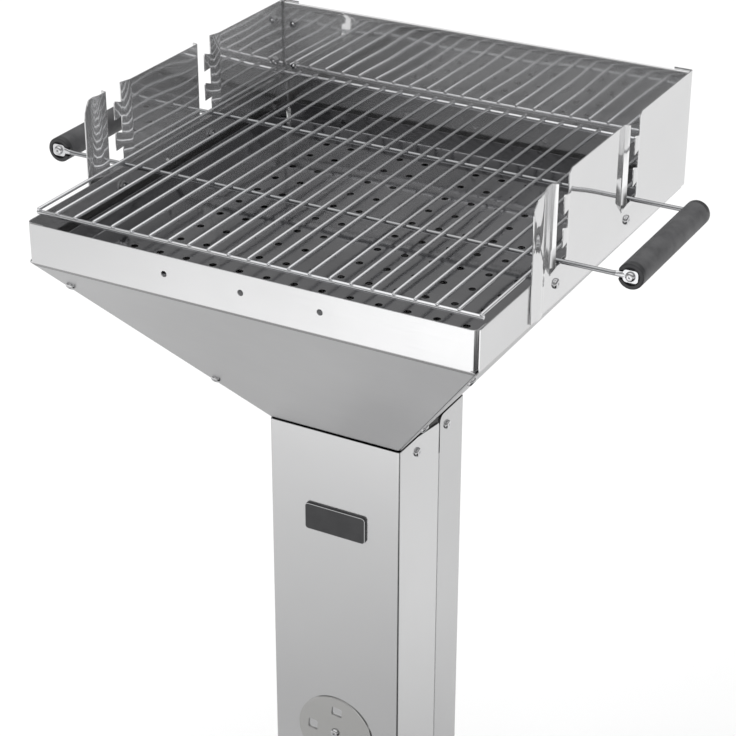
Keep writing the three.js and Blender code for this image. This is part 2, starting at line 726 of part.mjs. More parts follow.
// The raised field pressed out around a slot, as a convex body that rises from the plane x = 0.
function pressedField(armY, sunk) {
  const frontY = armY + CHANNEL_OFFSET - PRESS_FRONT;
  const rearY = armY + TOOTH_TIP_OFFSET + TOOTH_DEPTH + PRESS_REAR;
  const footZ = RIM_HEIGHT + NOTCH_FLOOR - PRESS_FOOT;
  const topZ = SHIELD_TOP_Z + OVERRUN;
  const outerField = [[frontY, footZ], [rearY, footZ], [rearY, topZ], [frontY, topZ]];
  const raisedFrontY = frontY + PRESS_FRONT_RUN;
  const raisedRearY = rearY - PRESS_REAR;
  const raisedFootZ = footZ + PRESS_FOOT_RUN;
  const raisedField = [
    [raisedFrontY, raisedFootZ],
    [raisedRearY, raisedFootZ],
    [raisedRearY, topZ],
    [raisedFrontY, topZ],
  ];
  const points = outerField.flatMap(([y, z]) => [new THREE.Vector3(-sunk, y, z), new THREE.Vector3(0, y, z)]);
  points.push(...raisedField.map(([y, z]) => new THREE.Vector3(PRESS_RISE, y, z)));
  return solidFrom(new ConvexGeometry(points));
}

function shieldRight() {
  const crown = Array.from({ length: CROWN_STEPS }, (unused, step) => {
    const share = step / CROWN_STEPS;
    const rise = CROWN_RISE * Math.sin(Math.PI * share) ** 2;
    return [SHIELD_OUTER_X + rise, SHIELD_FRONT_Y + CROWN_LENGTH * share];
  });
  const flangeX = SHIELD_OUTER_X - SHIELD_FLANGE;
  const plan = bentStrip(
    [
      ...crown,
      [SHIELD_OUTER_X, SHIELD_FRONT_Y + CROWN_LENGTH],
      [SHIELD_OUTER_X, FLANGE_OUTER_Y, BEND_RADIUS],
      [flangeX, FLANGE_OUTER_Y],
    ],
    SHEET,
  );
  let wall = prism('z', plan, SHIELD_BOTTOM_Z, SHIELD_TOP_Z);
  for (const armY of ARM_YS) {
    wall = wall.add(pressedField(armY, SHEET / 2).translate([SHIELD_OUTER_X, 0, 0]));
  }
  for (const armY of ARM_YS) {
    wall = wall.subtract(pressedField(armY, OVERRUN).translate([SHIELD_INNER_X, 0, 0]));
  }
  const corner = Array.from({ length: ROUND_STEPS + 1 }, (unused, step) => {
    const angle = (step / ROUND_STEPS) * (Math.PI / 2);
    const y = SHIELD_FRONT_Y + SHIELD_CORNER * (1 - Math.sin(angle));
    return [y, SHIELD_TOP_Z - SHIELD_CORNER * (1 - Math.cos(angle))];
  });
  const sideView = [
    ...corner,
    [SHIELD_FRONT_Y, SHIELD_BOTTOM_Z],
    [FLANGE_OUTER_Y + OVERRUN, SHIELD_BOTTOM_Z],
    [FLANGE_OUTER_Y + OVERRUN, SHIELD_TOP_Z],
  ];
  wall = wall.intersect(prism('x', sideView, 0, TROUGH_WIDTH));
  for (const armY of ARM_YS) {
    wall = wall.subtract(prism('x', slotOutline(armY), SHIELD_INNER_X - OVERRUN, SHIELD_OUTER_X + OVERRUN));
  }
  for (const end of [-1, 1]) {
    wall = wall.subtract(drill(WALL_HOLE_DIAMETER / 2, shieldScrewPlace(end), X_AXIS));
  }
  for (const point of cornerScrewPlaces().filter((place) => place.x > 0)) {
    wall = wall.subtract(drill(HOLE_RADIUS, point, Y_AXIS));
  }
  return wall;
}

// The rear wall stands between the side walls, with its top edge folded over inwards.
function shieldRear() {
  const topZ = SHIELD_TOP_Z - REAR_DROP;
  const foldY = REAR_WALL_OUTER_Y - SHEET - HEM_OPENING - SHEET;
  const foldRadius = SHEET + HEM_OPENING / 2;
  const section = bentStrip(
    [
      [REAR_WALL_OUTER_Y, SHIELD_BOTTOM_Z],
      [REAR_WALL_OUTER_Y, topZ, foldRadius],
      [foldY, topZ, foldRadius],
      [foldY, topZ - HEM_HEIGHT],
    ],
    SHEET,
  );
  const halfWidth = SHIELD_INNER_X - BEND_RADIUS;
  let wall = prism('x', section, -halfWidth, halfWidth);
  for (const point of cornerScrewPlaces()) {
    wall = wall.subtract(drill(HOLE_RADIUS, point, Y_AXIS));
  }
  return wall;
}

// Charcoal tray: it drops into the trough until its lower edges meet the slopes

function trayFloorZ(halfWidth) {
  const bendToFace = slopeShift(HALF_WIDTH, NECK_HALF_WIDTH, BEND_RADIUS + FIT_GAP + SHEET);
  const run = HALF_WIDTH - bendToFace - (halfWidth - BEND_RADIUS);
  const drop = (run * HOPPER_DROP) / (HALF_WIDTH - NECK_HALF_WIDTH);
  return BEND_Z - drop - BEND_RADIUS;
}

function charcoalTray() {
  const halfWidth = HALF_WIDTH - SHEET - TRAY_PLAY;
  const halfDepth = HALF_DEPTH - SHEET - TRAY_PLAY;
  const floorZ = trayFloorZ(halfWidth);
  const rimZ = floorZ + TRAY_RIM;
  const relief = BEND_RADIUS + BASE_CORNER_RELIEF;
  const channel = (half) => bentStrip(
    [[-half, rimZ], [-half, floorZ, BEND_RADIUS], [half, floorZ, BEND_RADIUS], [half, rimZ]],
    SHEET,
  );
  let tray = prism('y', channel(halfWidth), relief - halfDepth, halfDepth - relief);
  tray = tray.add(prism('x', channel(halfDepth), relief - halfWidth, halfWidth - relief));
  const holes = [];
  for (let column = 0; column < TRAY_COLUMNS; column += 1) {
    for (let row = 0; row < TRAY_ROWS; row += 1) {
      const x = (column - (TRAY_COLUMNS - 1) / 2) * TRAY_COLUMN_PITCH;
      const y = (row - (TRAY_ROWS - 1) / 2) * TRAY_ROW_PITCH;
      const outline = circle(TRAY_HOLE_DIAMETER / 2, TRAY_HOLE_SIDES, [x, y]);
      holes.push(prism('z', outline, floorZ - OVERRUN, floorZ + OVERRUN));
    }
  }
  return tray.subtract(wasm.Manifold.union(holes));
}

// Cooking grate: bars lie on cross rods, and two arms under them run out through the slots

const CHANNEL_FLOOR_SLOPE = Math.atan2(FLOOR_CLIMB, CHANNEL_WIDTH + TOOTH_DEPTH - NOTCH_FLAT);

// The lowest height of an arm's centre that keeps the fit gap to the sloping slot floor.
function armHeight() {
  const run = TOOTH_TIP_OFFSET + TOOTH_DEPTH - NOTCH_FLAT;
  const floor = RIM_HEIGHT + NOTCH_FLOOR + run * Math.tan(CHANNEL_FLOOR_SLOPE);
  return floor + (ROD_RADIUS + FIT_GAP) / Math.cos(CHANNEL_FLOOR_SLOPE);
}

const ARM_Z = armHeight();
const EYE_FACE = ROD_RADIUS;
const GRIP_X = HALF_WIDTH + GRIP_REACH;

function crossRod(halfLength, y, z) {
  const start = new THREE.Vector3(-halfLength, y, z);
  return rod(ROD_RADIUS, start, new THREE.Vector3(halfLength, y, z), ROD_SIDES);
}

// The bars and the end rods welded under them, with the bars lying on top of the arms.
function cookingGrate() {
  const rodTop = ROD_RADIUS * Math.cos(Math.PI / ROD_SIDES);
  const barBottom = BAR_RADIUS * Math.cos(Math.PI / BAR_SIDES);
  const barZ = ARM_Z + rodTop + barBottom;
  const frontY = BAR_SETBACK - HALF_DEPTH;
  const rearY = HALF_DEPTH - BAR_REAR_GAP;
  const pieces = [];
  for (let index = 0; index < BAR_COUNT; index += 1) {
    const x = (index - (BAR_COUNT - 1) / 2) * BAR_PITCH;
    const tip = new THREE.Vector3(x, frontY, barZ);
    pieces.push(rod(BAR_RADIUS, tip, new THREE.Vector3(x, rearY, barZ), BAR_SIDES));
  }
  const endX = ((BAR_COUNT - 1) / 2) * BAR_PITCH + ROD_OVERHANG;
  for (const y of [frontY + END_ROD_INSET, rearY - END_ROD_INSET]) {
    pieces.push(crossRod(endX, y, ARM_Z + WELD_SINK));
  }
  return wasm.Manifold.union(pieces);
}

// The flattened end of an arm, flush with the side of the rod that faces the grip.
function armEye(x, armY, inward) {
  const outline = roundedRectangle(EYE_WIDTH, EYE_HEIGHT, EYE_CORNER, [x, ARM_Z], 0);
  const span = [armY + inward * (EYE_FACE - EYE_THICKNESS), armY + inward * EYE_FACE].sort((a, b) => a - b);
  return prism('y', outline, span[0], span[1], [bore(HOLE_RADIUS, [x, ARM_Z])]);
}

function grateArm(armY, inward) {
  const armX = GRIP_X - EYE_WIDTH / 2 + EYE_LAP;
  const arm = crossRod(armX, armY, ARM_Z);
  return arm.add(armEye(-GRIP_X, armY, inward)).add(armEye(GRIP_X, armY, inward));
}

// A grip with a blind screw bore in each end, centred on the origin along Z.
function grip() {
  const halfLength = ARM_PITCH / 2 - EYE_FACE;
  const radius = GRIP_DIAMETER / 2;
  const boreEnd = halfLength - GRIP_BORE_DEPTH;
  const edge = Array.from({ length: BEND_STEPS + 1 }, (unused, step) => {
    const angle = (step / BEND_STEPS) * (Math.PI / 2);
    const across = radius - GRIP_EDGE * (1 - Math.sin(angle));
    return [across, halfLength - GRIP_EDGE * (1 - Math.cos(angle))];
  });
  const upper = [[0, boreEnd], [HOLE_RADIUS, boreEnd], [HOLE_RADIUS, halfLength], ...edge];
  const profile = upper.concat(upper.map(([r, z]) => [r, -z]).reverse()).reverse();
  const points = profile.map(([r, z]) => new THREE.Vector2(r, z));
  const geometry = new THREE.LatheGeometry(points, GRIP_SIDES);
  geometry.rotateX(Math.PI / 2);
  return solidFrom(geometry);
}

// Vent disc, lying in the (x, z) plane with its centre at the origin
function ventDisc() {
  const windows = windowAngles(VENT_TILT).map((angle) => ventWindow(angle, [0, 0]));
  const rim = circle(VENT_DIAMETER / 2, VENT_SIDES);
  return prism('y', rim, -VENT_THICKNESS, 0, [bore(HOLE_RADIUS), ...windows]);
}

// Fixed parts of the stand
addPart('base_plate', basePlate(), STEEL);
const FOOT_NAMES = ['foot_front_left', 'foot_front_right', 'foot_rear_left', 'foot_rear_right'];
footPlaces().forEach((point, index) => addTurned(FOOT_NAMES[index], foot(), RUBBER, point, Z_AXIS));
addPart('column_front', columnFront(), STEEL);
addPart('column_rear', columnRear(), STEEL);
const END_NAMES = ['front_left', 'front_right', 'rear_left', 'rear_right'];
const DOWN = Z_AXIS.clone().negate();
baseScrewPlaces().forEach((point, index) => {
  addTurned(`base_screw_${END_NAMES[index]}`, panScrew(SCREW_REACH), FASTENER, point, DOWN);
});

for (const { side, turns, panel } of HOPPER_SIDES) {
  const placed = hopperPanel(panel).rotate([0, 0, (turns * FULL_TURN_DEG) / 4]);
  addPart(`hopper_${side}`, drilledHopper(placed), STEEL);
}
for (const { name, point, outward } of hopperScrewPlaces()) {
  addTurned(name, panScrew(SCREW_REACH), FASTENER, point, outward);
}
neckScrewPlaces().forEach((point, index) => {
  const name = `neck_screw_${['left_front', 'left_rear', 'right_front', 'right_rear'][index]}`;
  const outward = X_AXIS.clone().multiplyScalar(Math.sign(point.x));
  addTurned(name, panScrew(SCREW_REACH), FASTENER, point, outward);
});

// Windshield and its screws
const sideWall = shieldRight();
addPart('windshield_left', sideWall.mirror([1, 0, 0]), MIRROR_STEEL);
addPart('windshield_right', sideWall, MIRROR_STEEL);
addPart('windshield_rear', shieldRear(), MIRROR_STEEL);
const sideReach = SHEET + FIT_GAP + SHEET + FIT_GAP + NUT_HEIGHT + SCREW_PROUD;
for (const side of [-1, 1]) {
  for (const end of [-1, 1]) {
    const place = shieldScrewPlace(end);
    const name = `${side < 0 ? 'left' : 'right'}_${end < 0 ? 'front' : 'rear'}`;
    const outward = X_AXIS.clone().multiplyScalar(side);
    const headSeat = new THREE.Vector3(side * SHIELD_OUTER_X, place.y, place.z);
    const nutSeat = new THREE.Vector3(side * (HALF_WIDTH - SHEET - FIT_GAP), place.y, place.z);
    addTurned(`windshield_screw_${name}`, panScrew(sideReach), FASTENER, headSeat, outward);
    addTurned(`windshield_nut_${name}`, hexNut(), FASTENER, nutSeat, outward.clone().negate());
  }
}
const cornerReach = SHEET + FIT_GAP + SHEET + FIT_GAP + NUT_HEIGHT + SCREW_PROUD;
cornerScrewPlaces().forEach((point, index) => {
  const name = ['left_lower', 'left_upper', 'right_lower', 'right_upper'][index];
  const headSeat = new THREE.Vector3(point.x, FLANGE_OUTER_Y, point.z);
  const nutSeat = new THREE.Vector3(point.x, REAR_WALL_INNER_Y - FIT_GAP, point.z);
  addTurned(`corner_screw_${name}`, panScrew(cornerReach), FASTENER, headSeat, Y_AXIS);
  addTurned(`corner_nut_${name}`, hexNut(), FASTENER, nutSeat, Y_AXIS.clone().negate());
});

// Loose tray, grate with its grips, and the vent
addPart('charcoal_tray', charcoalTray(), TRAY_STEEL);
addPart('cooking_grate', cookingGrate(), CHROME);
addPart('grate_arm_front', grateArm(ARM_YS[0], 1), CHROME);
addPart('grate_arm_rear', grateArm(ARM_YS[1], -1), CHROME);
const gripY = (ARM_YS[0] + ARM_YS[1]) / 2;
for (const side of [-1, 1]) {
  const sideName = side < 0 ? 'left' : 'right';
  const centre = new THREE.Vector3(side * GRIP_X, gripY, ARM_Z);
  addTurned(`grip_${sideName}`, grip(), BLACK_PLASTIC, centre, Y_AXIS);
  for (const end of [-1, 1]) {
    const seatY = gripY + end * (ARM_PITCH / 2 - EYE_FACE + EYE_THICKNESS);
    const seat = new THREE.Vector3(side * GRIP_X, seatY, ARM_Z);
    const outward = Y_AXIS.clone().multiplyScalar(end);
    const name = `grip_screw_${sideName}_${end < 0 ? 'front' : 'rear'}`;
    addTurned(name, panScrew(GRIP_SCREW_REACH, GRIP_SCREW_HEAD), FASTENER, seat, outward);
  }
}
const vent = addPart('vent_disc', ventDisc(), STEEL);
vent.position.set(0, COLUMN_FRONT_Y - FIT_GAP, VENT_CENTRE_Z);
const ventSeat = new THREE.Vector3(0, COLUMN_FRONT_Y - FIT_GAP - VENT_THICKNESS - FIT_GAP, VENT_CENTRE_Z);
const ventReach = FIT_GAP + VENT_THICKNESS + FIT_GAP + SHEET + FIT_GAP + NUT_HEIGHT + SCREW_PROUD;
addTurned('vent_screw', panScrew(ventReach), FASTENER, ventSeat, Y_AXIS.clone().negate());
const ventNutSeat = new THREE.Vector3(0, COLUMN_FRONT_Y + SHEET + FIT_GAP, VENT_CENTRE_Z);
addTurned('vent_nut', hexNut(), FASTENER, ventNutSeat, Y_AXIS);

// The finished grill stands on the ground with its box centred on the Z axis
const box = new THREE.Box3().setFromObject(grill);
grill.position.set(-(box.min.x + box.max.x) / 2, -(box.min.y + box.max.y) / 2, -box.min.z);
grill.updateMatrixWorld(true);

export default grill;
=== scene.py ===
# %% [markdown]
# This lesson dresses a charcoal grill: a square trough of thin steel on a funnel and a hollow column.
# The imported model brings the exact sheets. We round their bends, and add finishes, light and the small pieces.
# Everything is in metres, with Z up and the front towards -Y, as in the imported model.

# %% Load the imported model
import bpy
import bmesh
import math
from mathutils import Matrix, Vector


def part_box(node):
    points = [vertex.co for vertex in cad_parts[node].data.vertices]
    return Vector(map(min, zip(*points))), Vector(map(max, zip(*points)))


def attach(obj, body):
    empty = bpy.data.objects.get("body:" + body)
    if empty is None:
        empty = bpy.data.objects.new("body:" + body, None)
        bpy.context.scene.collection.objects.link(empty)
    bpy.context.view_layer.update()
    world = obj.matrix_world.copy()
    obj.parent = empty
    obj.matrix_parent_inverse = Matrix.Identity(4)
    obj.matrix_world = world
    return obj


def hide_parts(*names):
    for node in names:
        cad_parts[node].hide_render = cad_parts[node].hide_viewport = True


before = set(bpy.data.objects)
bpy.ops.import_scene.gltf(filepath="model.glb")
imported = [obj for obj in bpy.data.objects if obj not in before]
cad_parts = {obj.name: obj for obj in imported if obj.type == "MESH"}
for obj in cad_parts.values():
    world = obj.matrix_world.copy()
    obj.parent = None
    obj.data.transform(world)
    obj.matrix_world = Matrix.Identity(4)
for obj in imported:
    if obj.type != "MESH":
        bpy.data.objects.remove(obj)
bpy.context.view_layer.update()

SIDES = ((-1, "left"), (1, "right"))
ENDS = ((-1, "front"), (1, "rear"))

# %% [markdown]
# The camera comes first, because every later choice is judged through it.
# We could move it by eye, but its place was solved from the edges of the trough and the column.
# A long lens far away keeps the edges nearly parallel, as a product photographer would have it.

# %% Camera
CAMERA_PLACE = (0.7993, -1.4537, 1.4562)
CAMERA_TURN = (math.radians(90 - 27.05), 0, math.radians(29.06))

lens = bpy.data.cameras.new("product_lens")
lens.lens = 103.45
lens.sensor_width = 36
lens.shift_x = 0.0096
lens.shift_y = -0.0263
camera = bpy.data.objects.new("product_camera", lens)
camera.location = CAMERA_PLACE
camera.rotation_euler = CAMERA_TURN
bpy.context.scene.collection.objects.link(camera)
bpy.context.scene.camera = camera
print("camera at", CAMERA_PLACE)

# %% [markdown]
# New pieces are modelled as by hand: add a primitive, apply its place to its mesh, select, and shape.
# Operators act on whatever is selected, and the loaded nodes are, so each piece is selected alone.
# Faces and edges are then picked by where they lie or which way they face.


# %% Starting a piece
def select_only(piece):
    """Selects one piece alone and makes it the active one."""
    bpy.ops.object.select_all(action="DESELECT")
    piece.select_set(True)
    bpy.context.view_layer.objects.active = piece


def start_piece(name):
    """Names the primitive that was just added and puts its place into its mesh."""
    piece = bpy.context.object
    piece.name = name
    piece.data.name = name
    select_only(piece)
    bpy.ops.object.transform_apply(location=True, rotation=True, scale=True)
    return piece


def add_piece(name, primitive, **values):
    """Adds a primitive while nothing else is selected."""
    bpy.ops.object.select_all(action="DESELECT")
    primitive(**values)
    return start_piece(name)


def add_block(name, centre, size):
    """A block with square corners."""
    return add_piece(name, bpy.ops.mesh.primitive_cube_add, size=1, location=centre, scale=size)


def add_rod(name, radius, length, centre, turn=(0, 0, 0), sides=16):
    """A straight round rod, upright unless it is turned."""
    cylinder = bpy.ops.mesh.primitive_cylinder_add
    size = {"vertices": sides, "radius": radius, "depth": length}
    return add_piece(name, cylinder, location=centre, rotation=turn, **size)


ALONG_X = (0, math.pi / 2, 0)
ALONG_Y = (math.pi / 2, 0, 0)
print("blocks and rods ready")


# %% Picking and shaping
STRAIGHT = 0.99


def shape(piece, kind="FACE"):
    """Opens a piece in edit mode with all its vertices, edges or faces selected."""
    select_only(piece)
    bpy.ops.object.mode_set(mode="EDIT")
    bpy.ops.mesh.select_mode(type=kind)
    bpy.ops.mesh.select_all(action="SELECT")


def finish_shape():
    bpy.ops.object.mode_set(mode="OBJECT")


def pick(piece, kind, test):
    """Selects only the faces or edges that pass a test."""
    bpy.ops.mesh.select_mode(type=kind)
    bpy.ops.mesh.select_all(action="DESELECT")
    mesh = bmesh.from_edit_mesh(piece.data)
    for part in mesh.faces if kind == "FACE" else mesh.edges:
        part.select_set(bool(test(part)))
    bmesh.update_edit_mesh(piece.data)


def pick_facing(piece, way):
    """Selects the faces that look straight one way."""
    pick(piece, "FACE", lambda face: face.normal.dot(Vector(way)) > STRAIGHT)


def pick_edges(piece, test):
    """Selects the edges whose two ends pass a test."""
    pick(piece, "EDGE", lambda edge: test(edge.verts[0].co, edge.verts[1].co))


def extrude(x, y, z):
    """Extrudes what is selected and moves it."""
    bpy.ops.mesh.extrude_region_move(TRANSFORM_OT_translate={"value": (x, y, z)})


def bevel(width, segments):
    """Rounds the selected edges."""
    bpy.ops.mesh.bevel(offset=width, segments=segments, affect="EDGES")


def rounded_plate(name, centre, size, corner, segments=6):
    """A block whose four corners are round, seen from the front."""
    piece = add_block(name, centre, size)
    shape(piece)
    pick_edges(piece, lambda a, b: abs(a.y - b.y) > size[1] / 2)
    bevel(corner, segments)
    finish_shape()
    return piece


print("shaping ready")


# %% Copying, joining, cutting and smoothing
def copied(piece, name, place):
    """A copy with its own mesh, moved by a matrix."""
    twin = piece.copy()
    twin.data = piece.data.copy()
    twin.name = name
    twin.data.name = name
    twin.data.transform(place)
    bpy.context.scene.collection.objects.link(twin)
    return twin


def joined(pieces, name):
    """Joins pieces into the first one."""
    select_only(pieces[0])
    for piece in pieces:
        piece.select_set(True)
    bpy.ops.object.join()
    pieces[0].name = name
    pieces[0].data.name = name
    return pieces[0]


def modify(piece, kind, **settings):
    """Adds a modifier to a piece and applies it."""
    select_only(piece)
    modifier = piece.modifiers.new(kind, kind)
    for name, value in settings.items():
        setattr(modifier, name, value)
    bpy.ops.object.modifier_apply(modifier=modifier.name)


def cut_away(piece, cutter):
    """Takes a cutter's shape out of a piece and deletes the cutter."""
    modify(piece, "BOOLEAN", operation="DIFFERENCE", solver="EXACT", object=cutter)
    bpy.data.objects.remove(cutter)


def smooth(piece, degrees=35):
    """Shades a piece smooth wherever its faces meet under an angle."""
    select_only(piece)
    bpy.ops.object.shade_smooth_by_angle(angle=math.radians(degrees))


print("helpers ready")

# %% [markdown]
# Effects that several finishes share are shader node groups, each built once.
# They read the object's own coordinates, so nothing slides when the camera or a joint moves.
# Wiring nodes by hand takes many lines, so a few helpers do it.
# An input takes either a number or another node's output.


# %% Node helpers
def feed(tree, socket, value):
    """Links another node's output to a socket, or sets the socket's own value."""
    if isinstance(value, bpy.types.NodeSocket):
        tree.links.new(value, socket)
    else:
        socket.default_value = value


def add_node(tree, kind, **values):
    """Adds a shader node and feeds its inputs by name."""
    node = tree.nodes.new(kind)
    for name, value in values.items():
        feed(tree, node.inputs[name.replace("_", " ")], value)
    return node


def add_maths(tree, kind, operation, values):
    """Adds a node that calculates, and feeds its inputs in order."""
    node = tree.nodes.new(kind)
    node.operation = operation
    for socket, value in zip(node.inputs, values):
        feed(tree, socket, value)
    return node


def math_node(tree, operation, *values):
    return add_maths(tree, "ShaderNodeMath", operation, values).outputs["Value"]


def vector_node(tree, operation, *values):
    return add_maths(tree, "ShaderNodeVectorMath", operation, values)


def ranged(tree, source, low, high, to_low=0, to_high=1, kind="LINEAR"):
    """A Map Range node fed by a socket."""
    node = add_node(
        tree, "ShaderNodeMapRange", Value=source, From_Min=low, From_Max=high, To_Min=to_low, To_Max=to_high
    )
    node.interpolation_type = kind
    return node.outputs["Result"]


def noise(tree, vector, scale, detail, roughness=0.5):
    """The tone of a noise texture."""
    node = add_node(tree, "ShaderNodeTexNoise", Vector=vector, Scale=scale, Detail=detail, Roughness=roughness)
    return node.outputs["Fac"]


def new_group(name, outputs, **inputs):
    """A node group that takes a Vector and more inputs by name, and gives numbers."""
    tree = bpy.data.node_groups.new(name, "ShaderNodeTree")
    tree.interface.new_socket("Vector", in_out="INPUT", socket_type="NodeSocketVector")
    for input_name, value in inputs.items():
        kind = "NodeSocketVector" if isinstance(value, tuple) else "NodeSocketFloat"
        socket = tree.interface.new_socket(input_name.replace("_", " "), in_out="INPUT", socket_type=kind)
        socket.default_value = value
    for output_name in outputs:
        tree.interface.new_socket(output_name, in_out="OUTPUT", socket_type="NodeSocketFloat")
    return tree, tree.nodes.new("NodeGroupInput").outputs, tree.nodes.new("NodeGroupOutput").inputs


print("node helpers ready")

# %% [markdown]
# Sheet steel has a fine grain along the way it went through the rolls.
# An image of it would show its pixels up close, while noise stretched one way stays fine at any distance.

# %% Rolled grain of sheet steel
rolled_grain, given, made = new_group("rolled_grain", ["Tone"], Stretch=(1, 1, 0.02), Scale=1400)
stretched = vector_node(rolled_grain, "MULTIPLY", given["Vector"], given["Stretch"])
lines = noise(rolled_grain, stretched.outputs["Vector"], given["Scale"], 3, 0.6)
feed(rolled_grain, made["Tone"], ranged(rolled_grain, lines, 0.3, 0.7))
print("group:", rolled_grain.name)

# %% [markdown]
# Thin sheet is never quite flat: it has slow waves, and a mirror shows them as bent reflections.
# Moving the vertices would need a dense mesh, while a slow noise as bump bends only what is mirrored.

# %% Waves of thin sheet
waves, given, made = new_group("sheet_waves", ["Height"], Scale=7)
feed(waves, made["Height"], noise(waves, given["Vector"], given["Scale"], 1))
print("group:", waves.name)

# %% [markdown]
# Where a sheet is bent, and at the joint below it, a fine dark line is painted shade: the dark that the bend
# mirrors and the shadow in the joint. A mask finds the line by its height alone.
# Modelled dust would be far too thin to mesh, so a mask finds the line by its height alone.
# A wide mask of the same kind makes the slopes of the funnel duller than the walls above them.

# %% Lines and bands at a height
level_band, given, made = new_group("bend_line", ["Mask"], Level=0.7, Half_Width=0.001)
parts = add_node(level_band, "ShaderNodeSeparateXYZ", Vector=given["Vector"])
same = math_node(level_band, "COMPARE", parts.outputs["Z"], given["Level"], given["Half Width"])
feed(level_band, made["Mask"], same)
print("group:", level_band.name)

# %% [markdown]
# Bare steel is never evenly clean: hands and cloths leave broad dull clouds and a few hair scratches.
# Both could be painted as images, but noise gives them at any size and on every side.
# The clouds only change the gloss a little, and the scratches are thin, rare and shallow.

# %% Handling marks and hair scratches
handling, given, made = new_group("handling_marks", ["Smudge"], Scale=9)
clouds = noise(handling, given["Vector"], given["Scale"], 4, 0.55)
feed(handling, made["Smudge"], ranged(handling, clouds, 0.38, 0.68))

scratches, given, made = new_group("hair_scratches", ["Mask"], Direction=(0.6, 14, 1), Scale=26)
drawn = vector_node(scratches, "MULTIPLY", given["Vector"], given["Direction"])
hairs = noise(scratches, drawn.outputs["Vector"], given["Scale"], 5, 0.7)
feed(scratches, made["Mask"], ranged(scratches, hairs, 0.7, 0.74))
print("groups:", handling.name, scratches.name)

# %% [markdown]
# Plastic and rubber come out of a mould with a fine pebbled skin.
# A cell pattern gives the pebbles, and soft noise breaks up their evenness.

# %% Moulded skin
moulded, given, made = new_group("moulded_skin", ["Height", "Tone"], Scale=1500)
cells = add_node(moulded, "ShaderNodeTexVoronoi", Vector=given["Vector"], Scale=given["Scale"], Randomness=1.0)
feed(moulded, made["Height"], cells.outputs["Distance"])
feed(moulded, made["Tone"], ranged(moulded, noise(moulded, given["Vector"], 60, 4, 0.6), 0.35, 0.65))
print("group:", moulded.name)

# %% [markdown]
# A finish is one material with its own Principled shader, and the groups feed its sockets.
# Numbers that are the same all over, such as Metallic, are set on the shader itself.


# %% Parts of a finish
def new_finish(name, metallic):
    """An empty finish: its tree, its shader and the object's coordinates."""
    material = bpy.data.materials.new(name)
    material.use_nodes = True
    tree = material.node_tree
    shader = tree.nodes["Principled BSDF"]
    shader.inputs["Metallic"].default_value = metallic
    coordinates = tree.nodes.new("ShaderNodeTexCoord").outputs["Object"]
    return material, tree, shader, coordinates


def add_group(tree, group, vector, **values):
    """Adds a group and feeds its inputs by name."""
    node = tree.nodes.new("ShaderNodeGroup")
    node.node_tree = group
    for name, value in {"Vector": vector, **values}.items():
        feed(tree, node.inputs[name.replace("_", " ")], value)
    return node.outputs


def mixed_colour(tree, mask, first, second):
    """Mixes two colours, each three numbers or an output."""
    node = tree.nodes.new("ShaderNodeMix")
    node.data_type = "RGBA"
    feed(tree, node.inputs["Factor"], mask)
    for name, colour in (("A", first), ("B", second)):
        feed(tree, node.inputs[name], (*colour, 1) if isinstance(colour, tuple) else colour)
    return node.outputs["Result"]


def add_bump(tree, shader, height, distance, strength):
    """Lets a height bend the shader's normal."""
    bump = add_node(tree, "ShaderNodeBump", Height=height, Strength=strength, Distance=distance)
    feed(tree, shader.inputs["Normal"], bump.outputs["Normal"])


print("finish helpers ready")

# %% [markdown]
# Every steel part is rolled or drawn, so one recipe serves all: two close greys are mixed by grain and clouds,
# and the same mask moves the roughness. Scratches only dull it. What differs is handed in: tones, gloss, the
# grain's way, the depth of the sheet's waves, dark lines of painted shade, and a band that is duller than the
# rest.

# %% Recipe for steel
SMUDGE_SHARE = 0.6
SCRATCH_DULLING = 0.35


def sheet_finish(name, light, dark, gloss, stretch, wave=0, metallic=1, lines=(), matt=None):
    """Rolled steel between two greys, with roughness from gloss[0] to gloss[1]."""
    material, tree, shader, place = new_finish(name, metallic)
    grain = add_group(tree, rolled_grain, place, Stretch=stretch)["Tone"]
    marks = add_group(tree, handling, place)["Smudge"]
    hair = add_group(tree, scratches, place)["Mask"]
    mask = add_node(tree, "ShaderNodeMix", Factor=SMUDGE_SHARE, A=grain, B=marks).outputs["Result"]
    colour = mixed_colour(tree, mask, light, dark)
    # Each line is painted shade: a band at one height is darkened to a given grey.
    for level, half_width, depth in lines:
        line = add_group(tree, level_band, place, Level=level, Half_Width=half_width)["Mask"]
        colour = mixed_colour(tree, line, colour, (depth, depth, depth))
    feed(tree, shader.inputs["Base Color"], colour)
    dulled = math_node(tree, "MULTIPLY_ADD", hair, SCRATCH_DULLING, mask)
    rough = ranged(tree, dulled, 0, 1 + SCRATCH_DULLING, *gloss)
    if matt:
        level, half_width, added = matt
        band = add_group(tree, level_band, place, Level=level, Half_Width=half_width)["Mask"]
        rough = math_node(tree, "MULTIPLY_ADD", band, added, rough)
    feed(tree, shader.inputs["Roughness"], rough)
    if wave:
        add_bump(tree, shader, add_group(tree, waves, place)["Height"], wave, 1)
    return material


print("steel recipe ready")

# %% [markdown]
# The column and the slopes are satin, the windshield is polished, and the base is duller than both.
# Wires and arms are chromed, with their grain along them. The arms' round parts take a darker copy of the
# chrome: painted shade.

# %% Steel finishes
ALONG_WIDTH = (0.02, 1, 1)
ALONG_DEPTH = (1, 0.02, 1)
ALONG_HEIGHT = (1, 1, 0.02)
SATIN_TONES = ((0.77, 0.77, 0.775), (0.74, 0.74, 0.745))
SATIN_METALLIC = 0.94
FAINT_WAVE = 0.0003
# Painted shade: a dark line at the bend of wall and slope, and a darker band at the funnel's joint with the
# column.
BEND_SHADE_LINE = (0.7292, 0.0016, 0.42)
JOINT_SHADE_LINE = (0.5495, 0.0061, 0.02)
MATT_SLOPES = (0.642, 0.087, 0.2)

